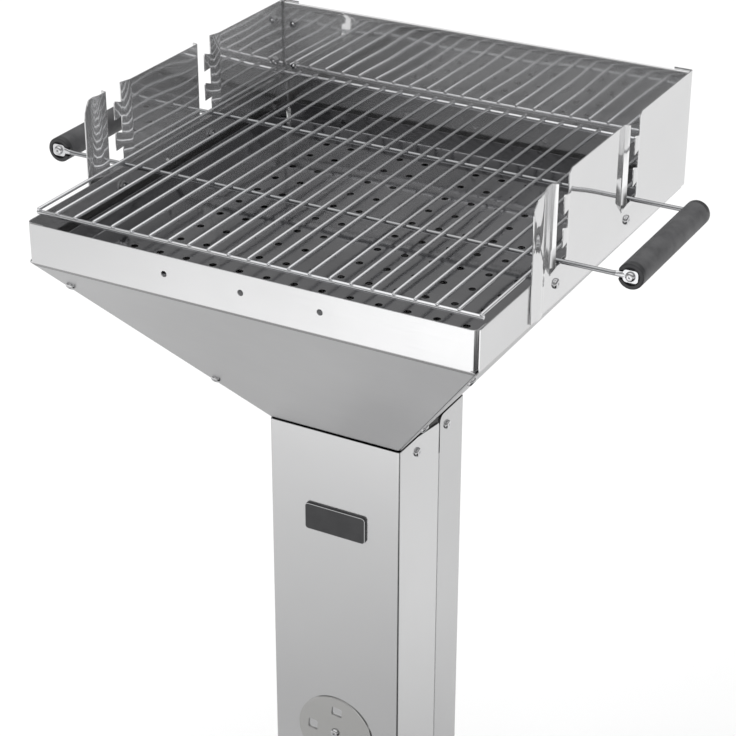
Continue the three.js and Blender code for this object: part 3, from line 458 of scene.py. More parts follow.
steel_finish = sheet_finish("satin_steel", *SATIN_TONES, (0.14, 0.22), ALONG_HEIGHT, FAINT_WAVE, SATIN_METALLIC)
funnel_finish = sheet_finish(
    "funnel_steel", *SATIN_TONES, (0.16, 0.24), ALONG_WIDTH, FAINT_WAVE, SATIN_METALLIC,
    (BEND_SHADE_LINE, JOINT_SHADE_LINE), MATT_SLOPES,
)
# Painted shade: the column's rear sheet takes a darker copy of the satin steel, for the dimmer light on its
# flank.
shaded_rear_finish = sheet_finish(
    "satin_steel_rear_shaded", (0.69, 0.69, 0.695), (0.66, 0.66, 0.665), (0.16, 0.24),
    ALONG_HEIGHT, FAINT_WAVE, SATIN_METALLIC,
)
vent_finish = sheet_finish(
    "vent_steel", (0.67, 0.668, 0.655), (0.63, 0.628, 0.615), (0.12, 0.2),
    ALONG_WIDTH, FAINT_WAVE, SATIN_METALLIC,
)
mirror_finish = sheet_finish(
    "polished_steel", (0.82, 0.82, 0.825), (0.78, 0.78, 0.785), (0.04, 0.1), ALONG_DEPTH, 0.0028, 0.85
)
# The tray's greys are darker than the other steel: partly its own tone, partly painted shade for the dark it
# mirrors inside the trough.
tray_finish = sheet_finish(
    "tray_steel", (0.44, 0.44, 0.45), (0.34, 0.34, 0.35), (0.05, 0.12), ALONG_WIDTH, 0.0012
)
base_finish = sheet_finish(
    "base_steel", (0.7, 0.7, 0.705), (0.6, 0.6, 0.61), (0.22, 0.38), ALONG_WIDTH, FAINT_WAVE
)
shaded_arm_finish = sheet_finish("chrome_arm_shaded", (0.5, 0.5, 0.51), (0.36, 0.37, 0.38), (0.12, 0.22), (0.1, 1, 1))
wire_finish = sheet_finish("chrome_wire", (0.86, 0.86, 0.87), (0.76, 0.77, 0.79), (0.2, 0.3), (1, 0.1, 1))
screw_finish = sheet_finish(
    "plated_fastener", (0.82, 0.82, 0.83), (0.58, 0.58, 0.59), (0.05, 0.12), (1, 1, 0.3)
)
print("steel finishes:", sorted(m.name for m in bpy.data.materials if m.use_nodes))

# %% [markdown]
# Grips, feet and the dark plate share a second recipe. They aren't metal, so their colour is their own:
# nearly black with soft lighter clouds, glossier in places by the same smudges, and the pebbles as bump.

# %% Moulded finishes
PEBBLE_DEPTH = 0.00012
SMUDGE_SCALE = 14


def moulded_finish(name, light, dark, gloss, scale, relief):
    """Moulded plastic or rubber between two tones."""
    material, tree, shader, place = new_finish(name, 0)
    skin = add_group(tree, moulded, place, Scale=scale)
    marks = add_group(tree, handling, place, Scale=SMUDGE_SCALE)["Smudge"]
    feed(tree, shader.inputs["Base Color"], mixed_colour(tree, skin["Tone"], light, dark))
    feed(tree, shader.inputs["Roughness"], ranged(tree, marks, 0, 1, *gloss))
    add_bump(tree, shader, skin["Height"], PEBBLE_DEPTH, relief)
    return material


grip_finish = moulded_finish("grip_plastic", (0.1, 0.1, 0.103), (0.062, 0.062, 0.065), (0.42, 0.6), 1700, 0.35)
rubber_finish = moulded_finish(
    "foot_rubber", (0.02, 0.02, 0.021), (0.012, 0.012, 0.012), (0.65, 0.85), 900, 0.5
)
# The plate's own dark lacquer, also used as painted shade on the grips' collars.
lacquer_and_shade_finish = moulded_finish(
    "plate_lacquer_and_collar_shade", (0.035, 0.035, 0.037), (0.026, 0.026, 0.028), (0.28, 0.4), 2400, 0.12
)
print("moulded finishes:", grip_finish.name, rubber_finish.name, lacquer_and_shade_finish.name)

# %% [markdown]
# The screws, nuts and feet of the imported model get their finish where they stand.
# What is hidden later, because a modelled piece stands for it, gets one too and costs nothing.

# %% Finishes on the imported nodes
for name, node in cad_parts.items():
    finish = rubber_finish if name.startswith("foot_") else screw_finish
    for material_slot in node.material_slots:
        material_slot.material = finish
print("nodes finished:", len(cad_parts))

# %% [markdown]
# A dressed piece needs two facts: which body it rides on, and which node it stands for.


# %% Dressing helper
def dress(piece, body, slot_name, finish, *nodes):
    """Gives a piece its finish, lets it ride on a body, and hides the nodes it stands for. Its slot name is not
    used.
    """
    piece.data.materials.clear()
    piece.data.materials.append(finish)
    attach(piece, body)
    if nodes:
        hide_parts(*nodes)
    return piece


def dress_faces(piece, finish, test):
    """Gives a second finish to the faces that pass a test."""
    piece.data.materials.append(finish)
    for face in piece.data.polygons:
        face.material_index = int(test(face))


print("dress ready")

# %% [markdown]
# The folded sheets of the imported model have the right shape, but a bend there is a few flat facets, and
# polished steel shows each facet as a mirror of its own. Folding the sheets again from planes would only
# risk new errors. So each sheet is copied, its corners are merged, and bends are shaded smooth.
# Smooth shading alone would bend the light on the flat walls too. The Weighted Normal modifier stops that:
# at each corner the largest face decides the direction, so walls stay flat and only the bends are round.

# %% Folded sheets with smooth bends
SHEET_FINISHES = {"base_plate": base_finish, "column_front": steel_finish, "column_rear": shaded_rear_finish}
SHEET_FINISHES.update((f"hopper_{side}", funnel_finish) for side in ("front", "left", "right", "rear"))
SHEET_FINISHES.update((f"windshield_{side}", mirror_finish) for side in ("left", "right", "rear"))
SLOTTED_SHEETS = {-1: "windshield_left", 1: "windshield_right"}
MERGE_DISTANCE = 0.00001


def merged_sheet(node_name):
    """A copy of a packed sheet with its corners merged."""
    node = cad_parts[node_name]
    sheet = bpy.data.objects.new(f"folded_{node_name}", node.data.copy())
    bpy.context.scene.collection.objects.link(sheet)
    shape(sheet, "VERT")
    bpy.ops.mesh.remove_doubles(threshold=MERGE_DISTANCE)
    finish_shape()
    return sheet


def round_bends(sheet):
    """Shades a sheet smooth, and turns each corner's direction to that of its largest face."""
    smooth(sheet)
    modify(sheet, "WEIGHTED_NORMAL", mode="FACE_AREA", keep_sharp=True)


folded = {}
for node_name, finish in SHEET_FINISHES.items():
    slot_name = "polished_sheet" if finish == mirror_finish else "steel_sheet"
    folded[node_name] = dress(merged_sheet(node_name), "stand", slot_name, finish, node_name)
    if node_name not in SLOTTED_SHEETS.values():
        round_bends(folded[node_name])
print("folded sheets:", len(folded))

# %% [markdown]
# The grate is chromed wire: thin bars lie across thicker rods, and two rods run out as arms.
# A curve with a round bevel would do, but a cylinder with bevelled tips is as round and closes itself.
# One bar is modelled and copied along the row at an even pitch.

# %% Bars and cross rods of the grate
BAR_RADIUS = 0.0015
BAR_Z = 0.773834
BAR_ENDS = (-0.1956, 0.1949)
BAR_COUNT = 23
BAR_PITCH = 0.01825
ROD_RADIUS = 0.002
END_ROD_Z = 0.771087


def round_tips(piece, radius):
    """Bevels the rims of the two end faces, which are the only faces with many corners."""
    shape(piece)
    pick(piece, "FACE", lambda face: len(face.verts) > 4)
    bpy.ops.mesh.region_to_loop()
    bevel(radius / 2, 2)
    finish_shape()


bar_centre = (0, (BAR_ENDS[0] + BAR_ENDS[1]) / 2, BAR_Z)
first_bar = add_rod("bar", BAR_RADIUS, BAR_ENDS[1] - BAR_ENDS[0], bar_centre, ALONG_Y, 12)
round_tips(first_bar, BAR_RADIUS)
grate_parts = []
for index in range(BAR_COUNT):
    x = (index - (BAR_COUNT - 1) / 2) * BAR_PITCH
    grate_parts.append(copied(first_bar, f"bar_{index}", Matrix.Translation((x, 0, 0))))
bpy.data.objects.remove(first_bar)

end_rod_length = (BAR_COUNT - 1) * BAR_PITCH + 2 * ROD_RADIUS
for y in (BAR_ENDS[0] + ROD_RADIUS, BAR_ENDS[1] - ROD_RADIUS):
    rod = add_rod("end_rod", ROD_RADIUS, end_rod_length, (0, y, END_ROD_Z), ALONG_X)
    round_tips(rod, ROD_RADIUS)
    grate_parts.append(rod)
print("bars:", BAR_COUNT, "pitch", BAR_PITCH)

# %% [markdown]
# Each arm is a thicker rod whose ends were pressed flat and punched, so that a screw can hold the grip.
# The rod's end is extruded and squeezed in three steps, and a plate with rounded corners carries on from it.

# %% Arms with flattened eyes
ARM_YS = (-0.0744, 0.0666)
ARM_Z = 0.770687
GRIP_X = 0.2685
NECK_START_X = 0.2525
SHADED_ARM_REACH = NECK_START_X + 0.005
NECK_SHIFT = 0.00025
NECK_STEPS = ((0.004, 1.1, 0.9), (0.0035, 1.25, 0.85), (0.0035, 1.2, 0.95))
EYE_WIDTH = 0.0126
EYE_HEIGHT = 0.0104
EYE_THICKNESS = 0.0025
EYE_CORNER = 0.003
SCREW_BORE_RADIUS = 0.0023
PUNCH_LENGTH = 0.01


def arm_rod(y, inward):
    """The round part of an arm. Each step towards an eye has a run, and makes the rod taller and thinner."""
    piece = add_rod("arm", ROD_RADIUS, 2 * NECK_START_X, (0, y, ARM_Z), ALONG_X)
    for side in (-1, 1):
        shape(piece)
        pick_facing(piece, (side, 0, 0))
        for run, tall, thin in NECK_STEPS:
            extrude(side * run, inward * NECK_SHIFT, 0)
            bpy.ops.transform.resize(value=(1, thin, tall))
        finish_shape()
    return piece


def eye_plate(x, y, inward):
    """The punched plate at the end of an arm, flush with the rod's inner side."""
    centre = (x, y + inward * (ROD_RADIUS - EYE_THICKNESS / 2), ARM_Z)
    piece = rounded_plate("eye", centre, (EYE_WIDTH, EYE_THICKNESS, EYE_HEIGHT), EYE_CORNER)
    cut_away(piece, add_rod("punch", SCREW_BORE_RADIUS, PUNCH_LENGTH, centre, ALONG_Y, 24))
    return piece


def on_arm(face):
    """Tells whether a face of the grate lies on the round part of an arm."""
    near_arm = min(abs(face.center.y - y) for y in ARM_YS) < 2 * ROD_RADIUS
    return near_arm and abs(face.center.x) < SHADED_ARM_REACH


for y, inward in zip(ARM_YS, (1, -1)):
    grate_parts.append(arm_rod(y, inward))
    for side in (-1, 1):
        grate_parts.append(eye_plate(side * GRIP_X, y, inward))

grate = joined(grate_parts, "grate_wires")
smooth(grate)
dress(grate, "grate", "wire", wire_finish, "cooking_grate", "grate_arm_front", "grate_arm_rear")
# Painted shade: the round parts of the arms take the darker copy of the chrome.
dress_faces(grate, shaded_arm_finish, on_arm)
print("grate:", len(grate.data.polygons), "faces")

# %% [markdown]
# Both side sheets of the windshield have a slot for each arm, and the slot's front edge is turned outwards as a
# lip that stiffens the thin sheet and runs out below the slot. The front end is rolled to a soft crown.
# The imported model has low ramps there. Extruding the slot's rim would make a lip, but not the place where it
# runs out. So the slot is opened up to the lip, bisect cuts the sheet into strips, and each strip's corners are
# moved round the bend, less and less towards the foot.

# %% Profile of a lip
LIP_FOLD = -0.0138
LIP_RADIUS = 0.0009
LIP_TURN = math.radians(80)
LIP_STEPS = 5
LIP_RISE = 0.0046
LIP_FOOT_Z = 0.7618
SLOT_FLOOR_Z = 0.7695
SLOT_FRONT = -0.0053
SLOT_ROOT = 0.0125
BLOCK_WIDTH = 0.02
BLOCK_HEIGHT = 0.1


def lip_corner(step, depth):
    """Run and rise of one corner of the lip, on the outer face or, a thickness deeper, the inner one."""
    angle = min(step / LIP_STEPS, 1) * LIP_TURN
    run = (LIP_RADIUS + depth) * math.sin(angle)
    rise = (LIP_RADIUS + depth) * (1 - math.cos(angle))
    if step > LIP_STEPS:
        straight = LIP_RISE - LIP_RADIUS * (1 - math.cos(LIP_TURN))
        run += straight / math.tan(LIP_TURN)
        rise += straight
    return run, rise


LIP_RUNS = [lip_corner(step, 0)[0] for step in range(LIP_STEPS + 2)]
print("lip runs, mm:", [round(run * 1000, 2) for run in LIP_RUNS])

# %% Old and new relief of the side sheets
SHEET = 0.001
SHEET_INNER_X = 0.2053
RAMP_RISE = 0.003
RAMP_FRONT = (-0.0163, 0.0037)
RAMP_REAR = (0.024, SLOT_ROOT)
RAMP_FOOT = (0.7599, 0.7679)
CROWN_START = -0.11863
CROWN_LENGTH = 0.024
CROWN_CUTS = 6
OLD_CROWN_RISE = 0.0018
CROWN_RISE = 0.0024


def share_between(value, start, end):
    """How far a value is on its way from a start to an end, from 0 to 1."""
    return min(max((value - start) / (end - start), 0), 1)


def ramp_rise(y, z):
    """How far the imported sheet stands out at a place, with y counted from the arm."""
    along = min(share_between(y, *RAMP_FRONT), share_between(y, *RAMP_REAR))
    return RAMP_RISE * min(along, share_between(z, *RAMP_FOOT))


def field_rise(y):
    """How far the new sheet stands out behind the lip."""
    if y > SLOT_ROOT:
        return RAMP_RISE * share_between(y, *RAMP_REAR)
    return LIP_RISE + (RAMP_RISE - LIP_RISE) * share_between(y, LIP_FOLD + LIP_RUNS[-1], SLOT_ROOT)


def crown_curve(share):
    """A soft hump, from 0 to 1 and back."""
    return math.sin(math.pi * share) ** 2


def crown_change(y):
    """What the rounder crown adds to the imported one, which has straight steps."""
    share = share_between(y, CROWN_START, CROWN_START + CROWN_LENGTH)
    step = math.floor(share * CROWN_CUTS)
    first, second = crown_curve(step / CROWN_CUTS), crown_curve(min(step + 1, CROWN_CUTS) / CROWN_CUTS)
    stepped = first + (second - first) * (share * CROWN_CUTS - step)
    return CROWN_RISE * crown_curve(share) - OLD_CROWN_RISE * stepped


print("rise at the teeth, mm:", ramp_rise(SLOT_ROOT, SLOT_FLOOR_Z) * 1000, field_rise(SLOT_ROOT) * 1000)


# %% Cutting and bending the side sheets
def slice_at(piece, place, direction):
    """Cuts every face that crosses a plane and keeps both sides."""
    shape(piece)
    bpy.ops.mesh.bisect(plane_co=place, plane_no=direction)
    finish_shape()


def open_slot(sheet, side, arm_y):
    """Takes the sheet away between the lip's edge and the slot."""
    front, rear = arm_y + LIP_FOLD + LIP_RUNS[-1], arm_y + SLOT_FRONT + SHEET
    centre = (side * SHEET_INNER_X, (front + rear) / 2, SLOT_FLOOR_Z + BLOCK_HEIGHT / 2)
    cut_away(sheet, add_block("slot_block", centre, (BLOCK_WIDTH, rear - front, BLOCK_HEIGHT)))


def bent_place(place, side):
    """Where a corner of the sheet goes."""
    x, y, z = side * place.x, place.y, place.z
    arm_y = min(ARM_YS, key=lambda each: abs(each - y))
    behind = y - arm_y
    flat_x = x - ramp_rise(behind, z) + crown_change(y)
    run = behind - LIP_FOLD
    fade = share_between(z, LIP_FOOT_Z, SLOT_FLOOR_Z)
    if run < MERGE_DISTANCE or x < SHEET_INNER_X - SHEET:  # the flat sheet and its corner flange
        return Vector((side * flat_x, y, z))
    if run < LIP_RUNS[-1] + MERGE_DISTANCE:  # the lip
        step = min(range(LIP_STEPS + 2), key=lambda each: abs(LIP_RUNS[each] - run))
        depth = SHEET if flat_x < SHEET_INNER_X + SHEET / 2 else 0
        bent_run, bent_rise = lip_corner(step, depth)
        return Vector((side * (flat_x + bent_rise * fade), y + (bent_run - run) * fade, z))
    return Vector((side * (flat_x + field_rise(behind) * fade), y, z))


for side, node_name in SLOTTED_SHEETS.items():
    sheet = folded[node_name]
    for arm_y in ARM_YS:
        open_slot(sheet, side, arm_y)
        for run in (*LIP_RUNS, SLOT_ROOT - LIP_FOLD, RAMP_REAR[0] - LIP_FOLD):
            slice_at(sheet, (0, arm_y + LIP_FOLD + run, 0), (0, 1, 0))
    for index in range(CROWN_CUTS * 2):
        share = (index + 0.5) / (CROWN_CUTS * 2)
        slice_at(sheet, (0, CROWN_START + CROWN_LENGTH * share, 0), (0, 1, 0))
    for level in (LIP_FOOT_Z, SLOT_FLOOR_Z):
        slice_at(sheet, (0, 0, level), (0, 0, 1))
    for vertex in sheet.data.vertices:
        vertex.co = bent_place(vertex.co, side)
    shape(sheet)
    bpy.ops.mesh.quads_convert_to_tris()
    finish_shape()
    round_bends(sheet)
    print(node_name, len(sheet.data.polygons), "faces")

# %% [markdown]
# The grips are moulded tubes, closed apart from the screw's bore, and a collar hides each eye's rim.
# A cylinder is rounded at both rims, and recess and bore are inset faces pushed inwards.
# A notch in the collar lets the arm come in from the trough's side.

# %% Grips
GRIP_Y = (ARM_YS[0] + ARM_YS[1]) / 2
GRIP_HALF_LENGTH = 0.0685
GRIP_RADIUS = 0.011
COLLAR_DEPTH = 0.0025
COLLAR_EDGE = 0.0011
COLLAR_BORE = 0.0078
SLEEVE_HALF_LENGTH = 0.0655
SCREW_BORE_DEPTH = 0.015
NOTCH_HEIGHT = 0.0084
NOTCH_SPARE = 0.001
NOTCH_WIDTH_SHARE = 0.9
NOTCH_PLACE_SHARE = 0.75


def model_grip():
    """One grip, centred on its axis at x = 0, with a collar round the arm's eye at each end."""
    grip = add_rod("grip", GRIP_RADIUS, 2 * SLEEVE_HALF_LENGTH, (0, GRIP_Y, ARM_Z), ALONG_Y, 48)
    reach = GRIP_HALF_LENGTH - SLEEVE_HALF_LENGTH + COLLAR_DEPTH
    for end in (-1, 1):
        shape(grip)
        pick_facing(grip, (0, end, 0))
        extrude(0, end * reach, 0)
        bpy.ops.mesh.region_to_loop()
        bevel(COLLAR_EDGE, 4)
        pick_facing(grip, (0, end, 0))
        bpy.ops.mesh.inset(thickness=GRIP_RADIUS - COLLAR_EDGE - COLLAR_BORE, depth=0)
        extrude(0, -end * COLLAR_DEPTH, 0)
        bpy.ops.mesh.inset(thickness=COLLAR_BORE - SCREW_BORE_RADIUS, depth=0)
        extrude(0, -end * SCREW_BORE_DEPTH, 0)
        finish_shape()
    return grip


def collar_notch(side, end):
    """A block that opens a collar towards the trough, where the arm comes in."""
    y = GRIP_Y + end * (GRIP_HALF_LENGTH + COLLAR_DEPTH / 2 + NOTCH_SPARE)
    centre = (side * GRIP_X - side * GRIP_RADIUS * NOTCH_PLACE_SHARE, y, ARM_Z)
    size = (GRIP_RADIUS * NOTCH_WIDTH_SHARE, COLLAR_DEPTH + 2 * NOTCH_SPARE, NOTCH_HEIGHT)
    return add_block("notch", centre, size)


grip_model = model_grip()
for side, side_name in SIDES:
    grip = copied(grip_model, f"moulded_grip_{side_name}", Matrix.Translation((side * GRIP_X, 0, 0)))
    for end in (-1, 1):
        cut_away(grip, collar_notch(side, end))
    smooth(grip)
    dress(grip, "grate", "grip_plastic", grip_finish, f"grip_{side_name}")
    # Painted shade: the collars take the dark lacquer, for the rounded ends that turn away from the light.
    dress_faces(grip, lacquer_and_shade_finish, lambda face: abs(face.center.y - GRIP_Y) > SLEEVE_HALF_LENGTH)
bpy.data.objects.remove(grip_model)
print("grips at x =", GRIP_X)

# %% [markdown]
# Pan-head screws hold the sheets. Seen close, each is a low dome with a cross recess.
# The recess could be painted dark, but cutting it with two crossed wedges catches light as the real one does.
# One screw of each length is modelled, head up at the origin, and copied to every place that is drilled for it.

# %% Pan-head screw
SCREW_RADIUS = 0.002
HEAD_RADIUS = 0.0044
GRIP_HEAD_RADIUS = 0.0041
HEAD_HEIGHT = 0.0026
HEAD_ROUNDING = 0.0022
TIP_LENGTH = 0.0015
TIP_NARROWING = 0.3
RECESS_LENGTH = 0.0034
RECESS_WIDTH = 0.0008
RECESS_DEPTH = 0.0015
RECESS_NARROWING = (0.45, 0.6)


def recess_wedge(turn):
    """One bar of the cross, narrower at its foot."""
    wedge = add_block("wedge", (0, 0, HEAD_HEIGHT), (RECESS_LENGTH, RECESS_WIDTH, 2 * RECESS_DEPTH))
    shape(wedge)
    pick_facing(wedge, (0, 0, -1))
    bpy.ops.transform.resize(value=(*RECESS_NARROWING, 1))
    finish_shape()
    wedge.data.transform(Matrix.Rotation(turn, 4, "Z"))
    return wedge


def model_screw(name, head_radius, reach):
    """A pan-head screw with its seat at the origin and its head towards +Z."""
    screw = add_rod(name, head_radius, HEAD_HEIGHT, (0, 0, HEAD_HEIGHT / 2), sides=32)
    shape(screw)
    pick_edges(screw, lambda a, b: min(a.z, b.z) > HEAD_HEIGHT / 2)
    bevel(HEAD_ROUNDING, 6)
    pick_facing(screw, (0, 0, -1))
    bpy.ops.mesh.inset(thickness=head_radius - SCREW_RADIUS, depth=0)
    extrude(0, 0, TIP_LENGTH - reach)
    extrude(0, 0, -TIP_LENGTH)
    bpy.ops.transform.resize(value=(TIP_NARROWING, TIP_NARROWING, 1))
    finish_shape()
    for turn in (math.pi / 4, 3 * math.pi / 4):
        cut_away(screw, recess_wedge(turn))
    return screw


sheet_screw = model_screw("sheet_screw", HEAD_RADIUS, 0.007)
bolt = model_screw("bolt", HEAD_RADIUS, 0.0058)
grip_screw = model_screw("grip_screw", GRIP_HEAD_RADIUS, 0.014)
vent_bolt = model_screw("vent_bolt", HEAD_RADIUS, 0.0063)
print("screw:", len(sheet_screw.data.polygons), "faces")

# %% [markdown]
# Every screw stands square on its sheet, so its place is a point and the way its head faces.
# The funnel's screws lean with the slopes: their points follow from the slope's height and run.

# %% Places of the screws in the funnel
TROUGH_Y = -0.0026
TROUGH_HALF = 0.205
BEND_Z = 0.731
FUNNEL_DROP = 0.178
NECK_HALVES = {"wide": 0.0637, "deep": 0.0597}
FUNNEL_SCREW_DROPS = (("upper", 0.023), ("lower", 0.128))
FUNNEL_SCREW_INSET = 0.009


def slope_at(neck_half, z):
    """How far a slope's outer face lies from the axis at a height."""
    return TROUGH_HALF + (neck_half - TROUGH_HALF) * (BEND_Z - z) / FUNNEL_DROP


def funnel_screw_places():
    """Names, points and directions of the eight screws in the slopes."""
    places = {}
    for turns, side in enumerate(("front", "right", "rear", "left")):
        facing, across = ("deep", "wide") if turns % 2 == 0 else ("wide", "deep")
        outward = Vector((0, -FUNNEL_DROP, NECK_HALVES[facing] - TROUGH_HALF)).normalized()
        quarter = Matrix.Rotation(turns * math.pi / 2, 3, "Z")
        for level, drop in FUNNEL_SCREW_DROPS:
            z = BEND_Z - drop
            x = FUNNEL_SCREW_INSET - slope_at(NECK_HALVES[across], z)
            point = quarter @ Vector((x, -slope_at(NECK_HALVES[facing], z), z)) + Vector((0, TROUGH_Y, 0))
            places[f"hopper_screw_{side}_{level}"] = (point, quarter @ outward)
    return places


print("upper screws at z =", BEND_Z - FUNNEL_SCREW_DROPS[0][1])

# %% Places of all screws
NECK_SCREW = (0.065, 0.0285, 0.538)
BASE_SCREW = (0.04, 0.049, 0.028)
SHIELD_SCREW = (0.2063, 0.07099, 0.7502)
CORNER_SCREW = (0.194, 0.205)
CORNER_SCREW_LEVELS = ((0.776, "lower"), (0.8176, "upper"))
GRIP_SCREW_REACH = 0.071
VENT_SCREW = (0, -0.0654, 0.234)


def four_places(stem, x, y, z):
    """Screws on the left and right sides, before and behind the trough's middle, with their heads outwards."""
    places = {}
    for side, side_name in SIDES:
        for end, end_name in ENDS:
            point = Vector((side * x, TROUGH_Y + end * y, z))
            places[f"{stem}_{side_name}_{end_name}"] = (point, Vector((side, 0, 0)))
    return places


def shaped_places():
    """All screws by kind: their model, and the places of that kind."""
    sheet = funnel_screw_places()
    sheet.update(four_places("neck_screw", *NECK_SCREW))
    x, y, z = BASE_SCREW
    for end, end_name in ENDS:
        for side, side_name in SIDES:
            point = Vector((side * x, TROUGH_Y + end * y, z))
            sheet[f"base_screw_{end_name}_{side_name}"] = (point, Vector((0, 0, -1)))
    bolts = four_places("windshield_screw", *SHIELD_SCREW)
    grips = {}
    for side, side_name in SIDES:
        for z, level in CORNER_SCREW_LEVELS:
            point = Vector((side * CORNER_SCREW[0], CORNER_SCREW[1], z))
            bolts[f"corner_screw_{side_name}_{level}"] = (point, Vector((0, 1, 0)))
        for end, end_name in ENDS:
            point = Vector((side * GRIP_X, GRIP_Y + end * GRIP_SCREW_REACH, ARM_Z))
            grips[f"grip_screw_{side_name}_{end_name}"] = (point, Vector((0, end, 0)))
    vent = {"vent_screw": (Vector(VENT_SCREW), Vector((0, -1, 0)))}
    return ((sheet_screw, sheet), (bolt, bolts), (grip_screw, grips), (vent_bolt, vent))


print("places:", [len(places) for _, places in shaped_places()])

# %% Screws in place
MAX_OFF_CENTRE = 0.009

screw_count = 0
for model, places in shaped_places():
    smooth(model, 30)
    for name, (point, outward) in places.items():
        low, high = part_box(name)
        turn = Vector((0, 0, 1)).rotation_difference(outward).to_matrix().to_4x4()
        piece = copied(model, f"pan_{name}", Matrix.Translation(point) @ turn)
        body = "grate" if name.startswith("grip_") else "stand"
        dress(piece, body, "fastener", screw_finish, name)
        off_centre = (point - (low + high) / 2).length
        assert off_centre < MAX_OFF_CENTRE, (name, off_centre)
        screw_count += 1
    bpy.data.objects.remove(model)
print("screws placed:", screw_count)

# %% [markdown]
# The charcoal tray is a shallow pan of perforated sheet.
# A boolean for each hole would work, but one cell with its hole, repeated by an array, is lighter and exact.
# The cell is a square loop bridged to a round one, and the pan's sides are pulled up from the sheet's border.

# %% Perforated floor of the tray
TRAY_COUNTS = (13, 11)
TRAY_PITCH = (0.026, 0.031)
TRAY_HOLE_RADIUS = 0.0032
TRAY_FLOOR_Z = 0.72297
NEAR = 0.0001

tray_middle = (0, TROUGH_Y)
first_cell = [tray_middle[axis] - (TRAY_COUNTS[axis] - 1) / 2 * TRAY_PITCH[axis] for axis in (0, 1)]


def along(axis, distance):
    """A step along one axis."""
    return tuple(distance if each == axis else 0 for each in range(3))


def inside_cell(a, b):
    """Tells whether an edge of the cell lies within its outline."""
    shares = [abs((a[axis] + b[axis]) / 2 - first_cell[axis]) / TRAY_PITCH[axis] for axis in (0, 1)]
    return max(shares) < 0.499


def model_floor():
    """The perforated floor: one cell, repeated both ways."""
    place = (*first_cell, TRAY_FLOOR_Z + SHEET)
    circle, grid = bpy.ops.mesh.primitive_circle_add, bpy.ops.mesh.primitive_grid_add
    turn = (0, 0, math.pi / 16)
    hole = add_piece("hole", circle, vertices=16, radius=TRAY_HOLE_RADIUS, location=place, rotation=turn)
    cell = add_piece("cell", grid, x_subdivisions=4, y_subdivisions=4, size=1, location=place)
    shape(cell)
    bpy.ops.transform.resize(value=(*TRAY_PITCH, 1), center_override=place)
    bpy.ops.mesh.delete(type="ONLY_FACE")
    pick_edges(cell, inside_cell)
    bpy.ops.mesh.delete(type="EDGE")
    finish_shape()
    tray = joined([cell, hole], "perforated_tray")
    shape(tray, "EDGE")
    bpy.ops.mesh.bridge_edge_loops()
    finish_shape()
    merging = {"use_merge_vertices": True, "merge_threshold": NEAR}
    for axis in (0, 1):
        offset = {"use_constant_offset": True, "constant_offset_displace": along(axis, TRAY_PITCH[axis])}
        modify(tray, "ARRAY", count=TRAY_COUNTS[axis], use_relative_offset=False, **offset, **merging)
    return tray


tray = model_floor()
print("tray floor:", len(tray.data.polygons), "faces")

# %% Sides of the tray
TRAY_HALF = 0.198
TRAY_RIM = 0.018
TRAY_CORNER_GAP = 0.004
TRAY_BEND = 0.001
MARGIN_HALF = TRAY_HALF - TRAY_CORNER_GAP


def on_side(vertex, axis, side, reach):
    """Tells whether a corner lies at a reach from the tray's middle, on one side."""
    return abs(side * (vertex[axis] - tray_middle[axis]) - reach) < NEAR


def pull_side(tray, axis, side):
    """Pulls one side of the pan out from the margin and up, and rounds its bend."""
    other = 1 - axis
    edge_at = TRAY_HALF - SHEET

    def on_border(a, b):
        reached = all(on_side(v, axis, side, MARGIN_HALF) for v in (a, b))
        within = all(abs(v[other] - tray_middle[other]) < MARGIN_HALF + NEAR for v in (a, b))
        return reached and within and abs(a.z - b.z) < NEAR

    def on_bend(a, b):
        floor_z = TRAY_FLOOR_Z + SHEET
        return all(on_side(v, axis, side, edge_at) and abs(v.z - floor_z) < NEAR for v in (a, b))

    pick_edges(tray, on_border)
    extrude(*along(axis, side * (edge_at - MARGIN_HALF)))
    extrude(0, 0, TRAY_RIM - SHEET)
    pick_edges(tray, on_bend)
    bevel(TRAY_BEND, 3)


floor_half = [count * pitch / 2 for count, pitch in zip(TRAY_COUNTS, TRAY_PITCH)]


def on_rim(a, b):
    """Tells whether an edge lies on the outline of the perforated floor."""
    for axis in (0, 1):
        if all(abs(abs(v[axis] - tray_middle[axis]) - floor_half[axis]) < 2 * NEAR for v in (a, b)):
            return True
    return False


shape(tray)
pick_edges(tray, on_rim)
extrude(0, 0, 0)
bpy.ops.transform.resize(
    value=(MARGIN_HALF / floor_half[0], MARGIN_HALF / floor_half[1], 1),
    center_override=(*tray_middle, TRAY_FLOOR_Z + SHEET),
)
for axis in (0, 1):
    for side in (-1, 1):
        pull_side(tray, axis, side)
bpy.ops.mesh.select_all(action="SELECT")
bpy.ops.mesh.normals_make_consistent(inside=False)
finish_shape()
print("tray pulled up:", len(tray.data.polygons), "faces")

# %% Thickness of the tray
up = sum(face.normal.z * face.area for face in tray.data.polygons)
modify(tray, "SOLIDIFY", thickness=SHEET, offset=-1 if up > 0 else 1)
smooth(tray)
dress(tray, "tray", "tray_sheet", tray_finish, "charcoal_tray")
low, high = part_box("charcoal_tray")
print("tray:", len(tray.data.polygons), "faces, CAD z", round(low.z, 5), round(high.z, 5))

# %% [markdown]
# The air vent is a thin disc that turns on one screw, with four rounded windows.
# The windows are cut by a rounded bar, turned a quarter further each time.

# %% Vent disc
VENT_CENTRE = (0, -0.0639, 0.234)
VENT_RADIUS = 0.039
VENT_THICKNESS = 0.0012
VENT_EDGE = 0.0003
VENT_TURN = math.radians(4)
WINDOW = (0.011, 0.010)
WINDOW_CORNER = 0.002
WINDOW_REACH = 0.024


def window_punch(angle):
    """A bar with rounded corners that stands where a window is cut."""
    size = (WINDOW[0], PUNCH_LENGTH, WINDOW[1])
    punch = rounded_plate("window_punch", (0, 0, WINDOW_REACH), size, WINDOW_CORNER, 5)
    punch.data.transform(Matrix.Translation(VENT_CENTRE) @ Matrix.Rotation(angle, 4, "Y"))
    return punch


